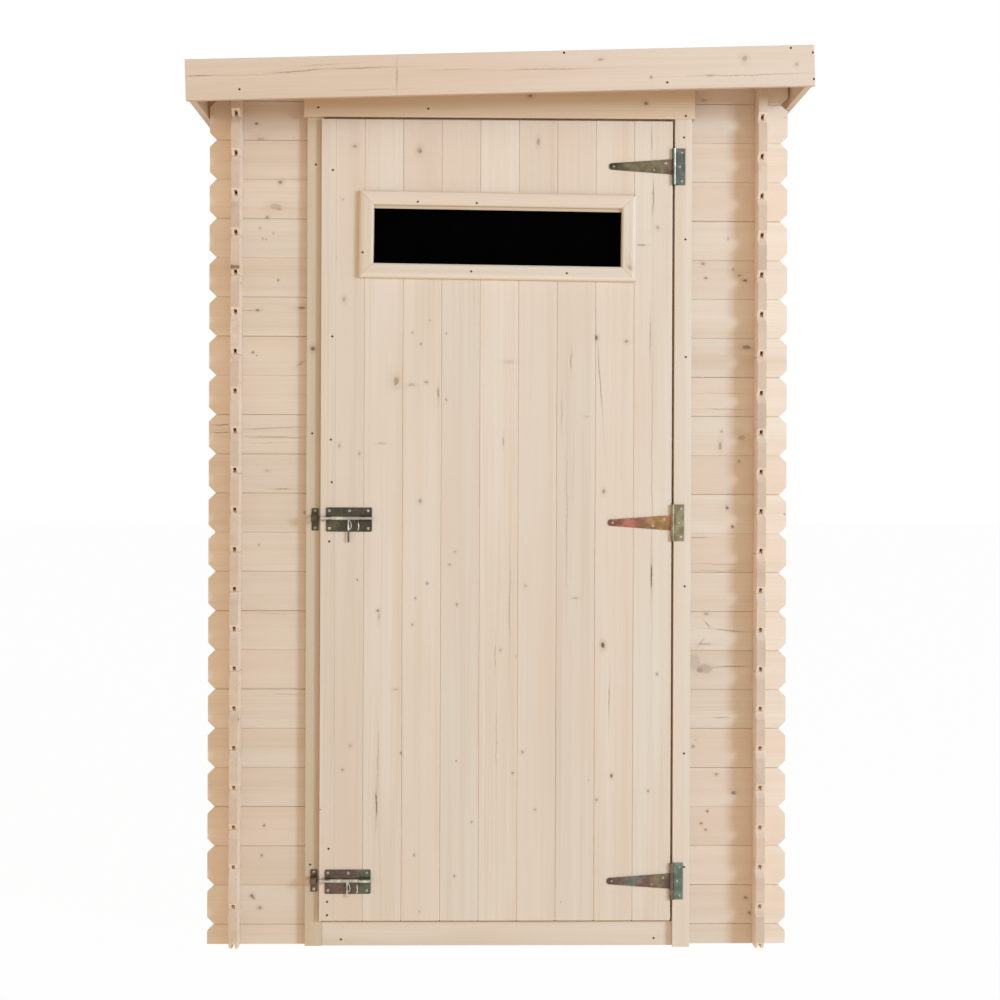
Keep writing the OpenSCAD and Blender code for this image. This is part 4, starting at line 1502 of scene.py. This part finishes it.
class SHED_OT_walls(bpy.types.Operator):
    """Stack the logs of the four walls"""

    bl_idname = "shed.walls"
    bl_label = "Log walls"

    def execute(self, context):
        high = context.scene.shed_wood.log_height
        roof_point, roof_normal = roof_plane()
        back_low, back_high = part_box("back_wall")
        side_low, side_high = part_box("right_wall")
        left_low, left_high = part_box("front_wall_left")
        right_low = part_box("front_wall_right")[0]
        top_low, top_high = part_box("front_wall_top")
        thick = back_high.y - back_low.y
        face = left_low.y
        start, end = back_low.x, back_high.x
        crossing = side_high.x - thick / 2
        count = math.ceil(top_high.z / high) + 1
        front = (0, face, 0)

        def close(name, mesh, seed, node, look="log"):
            mesh = trim(mesh, Vector((0, 0, 0)), -UP)
            mesh = trim(mesh, roof_point, roof_normal)
            mark_grain(mesh, seed)
            show(name, mesh, look, "shed", "log_wood", node)

        below = round((top_low.z + high / 2) / high)
        log = log_mesh("left_log", start, left_high.x, thick, [start], [-crossing])
        mesh = stack("logs_front_left", log, -high / 2, below, 0, front, 1)
        close("logs_front_left", mesh, 11, "front_wall_left", "log_left")
        log = log_mesh("right_log", right_low.x, end, thick, [end], [crossing])
        mesh = stack("logs_front_right", log, -high / 2, below, 0, front, 2)
        close("logs_front_right", mesh, 12, "front_wall_right", "log_right")

        whole = log_mesh("whole_log", start, end, thick, [start, end], [-crossing, crossing])
        head_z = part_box("closing_post")[1].z - context.scene.shed_door.head_drop
        head = bmesh.new()
        low = (left_high.x, face - PAST, top_low.z - 0.03)
        add_box(head, low, (right_low.x, face + thick + PAST, head_z))
        mesh = stack("logs_front_top", whole.copy(), top_low.z, 3, 0, front, 3)
        close("logs_front_top", cut_away(mesh, head), 13, "front_wall_top")
        mesh = stack("logs_back", whole.copy(), -high / 2, count, math.pi, (0, -face, 0), 4)
        close("logs_back", mesh, 14, "back_wall")

        near, far = side_low.y, side_high.y
        across = far - (side_high.y - back_high.y) - thick / 2
        side = log_mesh("side_log", near, far, thick, [near, far], [-across, across])
        for name, node, turn, x, seed in (
            ("logs_left", "left_wall", -math.pi / 2, -side_high.x, 15),
            ("logs_right", "right_wall", math.pi / 2, side_high.x, 16),
        ):
            close(name, stack(name, side.copy(), 0, count, turn, (x, 0, 0), seed), seed, node)
        return {"FINISHED"}


class SHED_OT_trim(bpy.types.Operator):
    """Ease the edges of the posts, header, sill, fascia and barge boards"""

    bl_idname = "shed.trim"
    bl_label = "Posts and trim"

    def execute(self, context):
        slope = (-math.asin(roof_plane()[1].x), context.scene.shed_door.nail_proud + SKIN)
        for name, node, look, seed, *tilt in (
            # the closing post is painted with the darker tint of painted shade
            ("post_closing", "closing_post", "post_brown", 21),
            ("post_hinge", "hinge_post", "post", 22),
            ("header", "door_header", "header", 23),
            ("sill", "front_sill", "trim", 24),
            ("fascia_front", "front_fascia", "fascia", 25, *slope),
            ("fascia_back", "back_fascia", "trim", 26, *slope),
            ("barge_left", "left_barge", "trim", 27),
            ("barge_right", "right_barge", "trim", 28),
        ):
            trim_piece(name, node, "shed", look, seed, *tilt)

        # laths behind the hinge side and the top of the door, which it shuts against
        leaf_low, leaf_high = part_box("door_leaf")
        head_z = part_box("door_header")[0].z
        post_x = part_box("hinge_post")[0].x
        front = leaf_high.y + 0.0015
        back = front + 0.005
        lap = 0.004
        bm = bmesh.new()
        add_box(bm, (leaf_low.x, front, leaf_high.z - lap), (leaf_high.x - lap, back, head_z))
        add_box(bm, (leaf_high.x - lap, front, leaf_low.z), (post_x, back, head_z))
        mesh = mark_grain(mesh_from("door_stops", bm), 29)
        # the laths take the darker tint of painted shade
        show("door_stops", mesh, "post_brown", "shed", "trim_wood")
        return {"FINISHED"}


class SHED_OT_door(bpy.types.Operator):
    """Lay the upright boards of the door, its edge strip and its ledges"""

    bl_idname = "shed.door"
    bl_label = "Door"

    def execute(self, context):
        wood = context.scene.shed_wood
        low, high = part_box("door_leaf")
        strip_low, strip_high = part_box("door_strip")
        pane_low, pane_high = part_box("window_pane")
        full_low = Vector((-high.x, low.y, low.z))
        width = 2 * high.x / wood.door_boards
        mesh = board_row("door_boards", full_low, high, 0, width, wood.door_vee, "door", 7)
        holes = bmesh.new()
        middle, wide, tall = window_opening("window_frame_outside")
        turned = add_box(
            holes,
            (middle.x - wide / 2, low.y - PAST, middle.z - tall / 2),
            (middle.x + wide / 2, pane_low.y + 0.001, middle.z + tall / 2),
        )
        turn = Matrix.Rotation(context.scene.shed_door.frame_turn, 3, "Y")
        bmesh.ops.rotate(holes, verts=turned, cent=middle, matrix=turn)
        add_box(holes, pane_low, (pane_high.x, high.y + PAST, pane_high.z))
        corner = (strip_low.x - 2 * PAST, low.y - PAST, low.z - PAST)
        add_box(holes, corner, (strip_high.x, strip_high.y, high.z + PAST))
        mesh = mark_grain(cut_away(mesh, holes), 31)
        show("door_boards", mesh, "door", "door", "log_wood", "door_leaf")
        trim_piece("edge_strip", "door_strip", "door", "trim", 32)
        trim_piece("ledges", "door_ledges", "door", "trim", 33)
        return {"FINISHED"}


def window_opening(node):
    """The middle, width and height of the opening in a window frame, before its turn."""
    door = bpy.context.scene.shed_door
    low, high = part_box(node)
    size = high - low
    c, s = math.cos(door.frame_turn), math.sin(door.frame_turn)
    wide = (size.x * c - size.z * s) / (c * c - s * s)
    tall = (size.z * c - size.x * s) / (c * c - s * s)
    return (low + high) / 2, wide - 2 * door.frame_board, tall - 2 * door.frame_board


class SHED_OT_window(bpy.types.Operator):
    """Make the mitred window frames and finish the pane"""

    bl_idname = "shed.window"
    bl_label = "Window"

    def execute(self, context):
        door = context.scene.shed_door
        board = door.frame_board
        bead_faces = 6
        for name, node, flip, seed in (
            ("frame_outside", "window_frame_outside", 0.0, 41),
            ("frame_inside", "window_frame_inside", math.pi, 42),
        ):
            low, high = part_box(node)
            middle, wide, tall = window_opening(node)
            depth = high.y - low.y
            section = [(0, depth), *SHOULDER, (board - 0.0035, 0), (board, 0.0035), (board, depth)]
            bm = bmesh.new()
            bm.from_mesh(mitred_frame(name, wide + 2 * board, tall + 2 * board, section))
            add_box(bm, (-wide / 2, 0.0100, tall / 2 - door.bead), (wide / 2, depth, tall / 2))
            mesh = mark_grain(mesh_from(name, bm), seed)
            mesh.transform(Matrix.Translation((0, -depth / 2, 0)))
            place = Matrix.Translation(middle) @ Matrix.Rotation(door.frame_turn, 4, "Y")
            mesh.transform(place @ Matrix.Rotation(flip, 4, "Z"))
            piece = show(name, mesh, "trim", "door", "trim_wood", node)
            first = len(mesh.polygons) - bead_faces
            # the bead's faces take the darker tint of painted shade
            paint(piece, "post_brown", lambda face: face.index >= first)
        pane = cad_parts["window_pane"]
        pane.data.materials.clear()
        pane.data.materials.append(LOOKS["pane"])
        return {"FINISHED"}


def felt_thickness():
    """The thickness of one strip of felt, of which two lie over each other at the lap."""
    low, high = roof_box("roof_felt")
    return (high.z - low.z) * 0.45


class SHED_OT_roof(bpy.types.Operator):
    """Lay the roof deck, its purlins and the roofing felt"""

    bl_idname = "shed.roof"
    bl_label = "Roof"

    def execute(self, context):
        roof = context.scene.shed_roof
        deck("deck_boards", "roof_deck", *roof_box("roof_deck"), 1, 0.0016, 51, roof_frame())
        trim_piece("purlins", "roof_purlins", "shed", "deck", 53)

        low, high = roof_box("roof_felt")
        side = roof.inset / 2
        start = low.y + roof.inset
        depth = (high.y - side - start + (roof.strips - 1) * roof.lap) / roof.strips
        thin = felt_thickness()
        bm = bmesh.new()
        for k in range(roof.strips):
            y0 = start + k * (depth - roof.lap)
            z0 = low.z + FELT_LIFT + (k % 2) * thin
            add_box(bm, (low.x + side, y0, z0), (high.x - side, y0 + depth, z0 + thin))
        ease_edges(bm, 0.0004, 1)
        mesh = mesh_from("felt_strips", bm)
        mesh.transform(roof_frame())
        show("felt_strips", mesh, "felt", "shed", "roof_felt", "roof_felt")
        return {"FINISHED"}


class SHED_OT_floor(bpy.types.Operator):
    """Lay the floor boards and their joists"""

    bl_idname = "shed.floor"
    bl_label = "Floor"

    def execute(self, context):
        deck("floor_planks", "floor_boards", *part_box("floor_boards"), 0, 0.0014, 61)
        trim_piece("joists", "floor_joists", "shed", "deck", 62)
        return {"FINISHED"}


def smooth(piece):
    """Shades a piece smooth except at its sharp edges."""
    piece.data.shade_smooth()
    piece.data.set_sharp_from_angle(angle=math.radians(30))


class SHED_OT_hinges(bpy.types.Operator):
    """Finish the strap hinges, whose knuckles have a tone of their own; at the top hinge the tone is a
    painted highlight on the faces turned to the right
    """

    bl_idname = "shed.hinges"
    bl_label = "Hinges"

    def execute(self, context):
        for place in HINGES:
            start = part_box(f"{place}_hinge_plate")[0].x
            end = start + context.scene.shed_metal.knuckle
            # at the top hinge, only the faces turned to the right have the tone, a painted highlight on the
            # side towards the lamp
            least = 0.2 if place == "top" else -2.0

            def on_knuckle(face):
                return start < face.center.x < end and face.normal.x > least

            for part, body in (("strap", "door"), ("plate", "shed")):
                name = f"{part}_{place}"
                node = f"{place}_hinge_{part}"
                mesh = mesh_from(name, eased_copy(node, 0.0003, 1))
                piece = show(name, mesh, name, body, "yellow_zinc", node)
                paint(piece, f"knuckle_{place}", on_knuckle)
                smooth(piece)
        return {"FINISHED"}


def strapped_plate(name, low, high, axis, corner, straps):
    """A plate with rounded corners and pressed straps, each from one x to another, that arch over a
    rod. Axis is the y and z of the rod's axis."""
    plate_y = high.y - SHEET
    bm = bmesh.new()
    add_plate(bm, (low.x, plate_y, low.z), high, corner)
    for start, end in straps:
        add_barrel(bm, start, end, plate_y, *axis, axis[0] - low.y - SHEET, SHEET)
    ease_edges(bm, 0.0003, 1)
    return mesh_from(name, bm)


def rod_mesh(name, low, high, axis, handle_in, wire):
    """A bolt's rod with a drop handle and a wire loop beside it."""
    axis_y, axis_z = axis
    thick = (high.y - low.y) / 2
    long = high.x - low.x
    outline = [(0, 0), (thick * 0.6, 0), (thick * 0.9, 0.001), (thick, 0.0025)]
    outline += [(thick, long - 0.001), (thick * 0.8, long), (0, long)]
    bm = bmesh.new()
    bm.from_mesh(mesh_from("rod", lathe(outline, 24)))
    turn = Matrix.Translation((low.x, axis_y, axis_z)) @ Matrix.Rotation(math.pi / 2, 4, "Y")
    bmesh.ops.transform(bm, matrix=turn, verts=bm.verts)
    root = Vector((low.x + handle_in, axis_y, axis_z))
    drop = axis_z - low.z
    handle = ((0, 0, -0.002), (0, 0, -drop * 0.5), (0.0003, 0, 0.0015 - drop))
    add_wire(bm, [root + Vector(step) for step in handle], 0.0021, 10)
    add_wire(bm, curve_points([root + Vector(step) for step in LOOP_STEPS]), wire)
    return mesh_from(name, bm)


class SHED_OT_bolts(bpy.types.Operator):
    """Make the slide bolts: their plates and barrels, rods, handles, eyes and keepers"""

    bl_idname = "shed.bolts"
    bl_label = "Bolts"

    def execute(self, context):
        metal = context.scene.shed_metal
        for place in BOLTS:
            low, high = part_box(f"{place}_bolt_case")
            rod_low, rod_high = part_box(f"{place}_bolt_rod")
            rod = (rod_high.y - rod_low.y) / 2
            axis = (rod_low.y + rod, rod_high.z - rod)
            axis_y, axis_z = axis

            look = f"case_{place}"
            straps = ((low.x + 0.0005, low.x + 0.0115), (high.x - 0.0255, high.x - 0.0005))
            mesh = strapped_plate(look, low, high, axis, 0.003, straps)
            piece = show(look, mesh, look, "door", "yellow_zinc", f"{place}_bolt_case")
            bore = axis_y - low.y - SHEET
            crest = axis_y - bore
            half = bore * 0.6

            def on_crest(face):
                return face.center.y < crest and abs(face.center.z - axis_z) < half

            # painted highlight: the crests of the barrels are painted bright
            paint(piece, "bright", on_crest)
            smooth(piece)

            # the eye and the rod are bare zinc with a painted highlight
            name = f"eye_{place}"
            foot = Vector((high.x - 0.0300, high.y - SHEET, axis_z))
            bm = bmesh.new()
            add_wire(bm, curve_points([foot + Vector(step) for step in EYE_STEPS]), metal.wire)
            smooth(show(name, mesh_from(name, bm), "bright", "door", "yellow_zinc"))

            name = f"rod_{place}"
            mesh = rod_mesh(name, rod_low, rod_high, axis, metal.handle_in, metal.wire)
            piece = show(name, mesh, "bright", f"{place}_bolt", "yellow_zinc", f"{place}_bolt_rod")
            # painted reflection: below the plate the handle and its loop are painted darker, as metal
            # mirroring darker surroundings
            paint(piece, "wire", lambda face: face.center.z < low.z)
            smooth(piece)

            name = f"keeper_{place}"
            low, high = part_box(f"{place}_keeper")
            mesh = strapped_plate(name, low, high, axis, 0.002, [(low.x + 0.0005, high.x - 0.0005)])
            smooth(show(name, mesh, look, "shed", "yellow_zinc", f"{place}_keeper"))
        return {"FINISHED"}


def drive(name, template, look, body, *batches):
    """Fixes copies of a nail or screw as one piece. Each batch is its points, the way they face and a
    seed."""
    meshes = [fixings(name, template.copy(), *batch, LOOKS[look]) for batch in batches]
    show(name, merged(name, meshes), look, body, "yellow_zinc")


def at_face(node):
    """The places of a node's nails, on its front face."""
    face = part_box(node)[0].y
    return [Vector((x, face, z)) for x, z in NAILS[node]]


class SHED_OT_fixings(bpy.types.Operator):
    """Drive the nails, screws and clout nails"""

    bl_idname = "shed.fixings"
    bl_label = "Nails and screws"

    def execute(self, context):
        metal = context.scene.shed_metal
        boards = context.scene.shed_wood.door_boards
        proud = context.scene.shed_door.nail_proud
        nail = nail_mesh("nail", metal.nail_head, proud)
        screw = screw_mesh("screw", metal.screw_head)

        nodes = ("door_header", "closing_post", "hinge_post", "front_sill")
        front = [place for node in nodes for place in at_face(node)]
        skin = Vector((0, proud + SKIN, 0))
        front += [on_fascia(x, down) + skin for x, down in NAILS["front_fascia"]]
        back = []
        for x in (-0.62, -0.31, 0.0, 0.31, 0.62):
            for down in (0.018, 0.070):
                place = on_fascia(x, down)
                back.append(Vector((x, -place.y - skin.y, place.z)))
        sides = []
        for side, (node, way) in enumerate((("left_barge", LEFT), ("right_barge", RIGHT))):
            box = roof_box(node)
            rows = (box[0].z + 0.02, box[1].z - 0.02)
            spots = [Vector((box[side].x, y, z)) for y in (-0.55, -0.28, 0, 0.28, 0.55) for z in rows]
            sides.append(([roof_frame() @ spot for spot in spots], way, 3))
        drive("nails_shed", nail, "nail", "shed", (front, FRONT, 1), (back, -FRONT, 2), *sides)

        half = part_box("door_leaf")[1].x
        ledge_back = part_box("door_ledges")[1].y
        pitch = 2 * half / boards
        inner = []
        for place in HINGES:
            low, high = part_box(f"{place}_hinge_strap")
            level = (low.z + high.z) / 2
            for k in range(1, boards - 1):
                for dz in (-0.024, 0.024):
                    inner.append(Vector((-half + pitch * (k + 0.5), ledge_back, level + dz)))
        strip = (at_face("door_strip"), FRONT, 4)
        window = (at_face("window_frame_outside"), FRONT, 5)
        drive("nails_door", nail, "nail", "door", strip, window, (inner, -FRONT, 6))

        on_door = []
        on_shed = []
        for place in HINGES:
            low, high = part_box(f"{place}_hinge_strap")
            strap = Vector((low.x, high.y - SHEET, (low.z + high.z) / 2))
            plate = Vector((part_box(f"{place}_hinge_plate")[1].x, strap.y, strap.z))
            along_strap = ((0.010, 0), (0.100, -0.007), (0.126, 0.0075))
            down_plate = ((-0.0075, 0.031), (-0.0125, 0), (-0.0075, -0.032))
            on_door += [strap + Vector((dx, 0, dz)) for dx, dz in along_strap]
            on_shed += [plate + Vector((dx, 0, dz)) for dx, dz in down_plate]
        for place in BOLTS:
            low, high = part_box(f"{place}_bolt_case")
            face = high.y - SHEET
            ends = (low.x + 0.007, high.x - 0.0085)
            on_door += [Vector((x, face, high.z - 0.0075)) for x in (ends[0], low.x + 0.052, ends[1])]
            on_door += [Vector((x, face, low.z + 0.0075)) for x in ends]
            low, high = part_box(f"{place}_keeper")
            middle = (low.x + high.x) / 2
            on_shed += [Vector((middle, high.y - SHEET, z)) for z in (low.z + 0.006, high.z - 0.006)]
        # the screw heads are bare zinc with a painted highlight
        drive("screws_door", screw, "bright", "door", (on_door, FRONT, 7))
        drive("screws_shed", screw, "bright", "shed", (on_shed, FRONT, 8))

        roof = context.scene.shed_roof
        low, high = roof_box("roof_felt")
        margin = 0.015
        side = roof.inset / 2
        x0, x1 = low.x + side + margin, high.x - side - margin
        y0, y1 = low.y + roof.inset + margin, high.y - side - margin
        thin = felt_thickness()
        lap_y = (y0 + y1) / 2 - roof.lap / 2 + 0.02
        clouts = []
        for start, end in (
            ((x0, y0), (x1, y0)),
            ((x0, y1), (x1, y1)),
            ((x0, lap_y), (x1, lap_y)),
            ((x0, y0), (x0, y1)),
            ((x1, y0), (x1, y1)),
        ):
            count = round(math.dist(start, end) / roof.clout_gap)
            for k in range(count + 1):
                x, y = (a + (b - a) * k / count for a, b in zip(start, end))
                top = low.z + FELT_LIFT + (2 * thin if y >= lap_y - 0.021 else thin)
                clouts.append(roof_frame() @ Vector((x, y, top)))
        clout = nail_mesh("clout", metal.clout_head, (high.z - low.z) * 0.06)
        drive("clouts", clout, "bright", "shed", (clouts, roof_plane()[1], 9))
        return {"FINISHED"}


def studio_world(stage):
    """Even light all round, brightest from level, behind a white that only the camera sees."""
    world = bpy.data.worlds.new("studio")
    world.use_nodes = True
    world.node_tree.nodes.clear()
    shade = Shade(world.node_tree)
    seen = shade.seen()
    rise = shade.parts(shade.node("ShaderNodeTexCoord").outputs["Generated"])["Z"]
    level = shade.math("SUBTRACT", 1.0, shade.math("POWER", rise, 2.0))
    band = shade.line(shade.math("POWER", level, 5.0), 0.15, 1.95)
    band = shade.times(band, stage.ambient)
    strength = shade.plus(shade.times(band, shade.math("SUBTRACT", 1.0, seen)), seen)
    tone = shade.mix(seen, tuple(stage.fill_tone), WHITE)
    light = shade.node("ShaderNodeBackground", {"Color": tone, "Strength": strength})
    shade.node("ShaderNodeOutputWorld", {"Surface": light.outputs[0]})
    return world


def pale_floor(stage):
    """A matt white that keeps shadows, and gives back an even part of the light that it gets."""
    material, shade, surface = new_material("pale_floor")
    surface.inputs["Base Color"].default_value = (0.92, 0.92, 0.92, 1)
    surface.inputs["Roughness"].default_value = 0.9
    surface.inputs["Specular IOR Level"].default_value = 0.0
    seen = shade.seen()
    bounce = tuple(part * 0.91 for part in stage.fill_tone)
    tone = shade.mix(seen, bounce, WHITE)
    glow = shade.node("ShaderNodeEmission", {"Color": tone, "Strength": 1.0})
    share = shade.line(seen, stage.bounce, 0.98)
    blend = shade.node("ShaderNodeMixShader", {0: share, 1: surface.outputs[0], 2: glow.outputs[0]})
    shade.feed(material.node_tree.nodes["Material Output"].inputs["Surface"], blend.outputs[0])
    return material


class SHED_OT_stage(bpy.types.Operator):
    """Set up the floor, the surroundings, the lamp and the camera"""

    bl_idname = "shed.stage"
    bl_label = "Stage"

    def execute(self, context):
        scene = context.scene
        stage = scene.shed_stage
        scene.view_settings.view_transform = "Standard"
        scene.world = studio_world(stage)

        bm = bmesh.new()
        bmesh.ops.create_grid(bm, x_segments=1, y_segments=1, size=30)
        floor = link("floor", mesh_from("floor", bm))
        floor.data.materials.append(pale_floor(stage))

        lamp = bpy.data.lights.new("key", "AREA")
        lamp.energy = stage.key
        lamp.color = stage.key_tone
        lamp.shape = "SQUARE"
        lamp.size = stage.key_size
        key = link("key", lamp)
        aim = Vector((0, -0.45, 1.0))
        level = math.cos(stage.key_height)
        x, y = math.sin(stage.key_turn) * level, -math.cos(stage.key_turn) * level
        way = Vector((x, y, math.sin(stage.key_height)))
        key.location = aim + way * stage.key_far
        key.rotation_euler = way.to_track_quat("Z", "Y").to_euler()

        camera = bpy.data.cameras.new("camera")
        camera.lens = stage.lens
        camera.sensor_width = 36
        camera.shift_x = stage.shift_x
        camera.shift_y = stage.shift_y
        view = link("camera", camera)
        upright = Matrix.Rotation(math.pi / 2, 4, "X")
        turned = Matrix.Rotation(stage.turn, 4, "Z") @ upright @ Matrix.Rotation(stage.roll, 4, "Z")
        view.matrix_world = Matrix.Translation(stage.eye) @ turned
        scene.camera = view
        return {"FINISHED"}


class SHED_PT_panel(bpy.types.Panel):
    """Lists the steps that build the shed"""

    bl_idname = "SHED_PT_panel"
    bl_label = "Garden shed"
    bl_space_type = "VIEW_3D"
    bl_region_type = "UI"
    bl_category = "Shed"

    def draw(self, context):
        for step in STEPS:
            self.layout.operator(step.bl_idname)


STEPS = (
    SHED_OT_materials,
    SHED_OT_walls,
    SHED_OT_trim,
    SHED_OT_door,
    SHED_OT_window,
    SHED_OT_roof,
    SHED_OT_floor,
    SHED_OT_hinges,
    SHED_OT_bolts,
    SHED_OT_fixings,
    SHED_OT_stage,
)
SETTINGS = {
    "shed_wood": ShedWood,
    "shed_door": ShedDoor,
    "shed_metal": ShedMetal,
    "shed_roof": ShedRoof,
    "shed_stage": ShedStage,
}


def register():
    """Registers the settings, the steps and the panel."""
    for name, group in SETTINGS.items():
        bpy.utils.register_class(group)
        setattr(bpy.types.Scene, name, PointerProperty(type=group))
    for step in STEPS:
        bpy.utils.register_class(step)
    bpy.utils.register_class(SHED_PT_panel)


def unregister():
    """Takes the panel, the steps and the settings away."""
    bpy.utils.unregister_class(SHED_PT_panel)
    for step in reversed(STEPS):
        bpy.utils.unregister_class(step)
    for name, group in SETTINGS.items():
        delattr(bpy.types.Scene, name)
        bpy.utils.unregister_class(group)


def main():
    register()
    for step in STEPS:
        area, name = step.bl_idname.split(".")
        getattr(getattr(bpy.ops, area), name)()


if __name__ == "__main__":
    main()
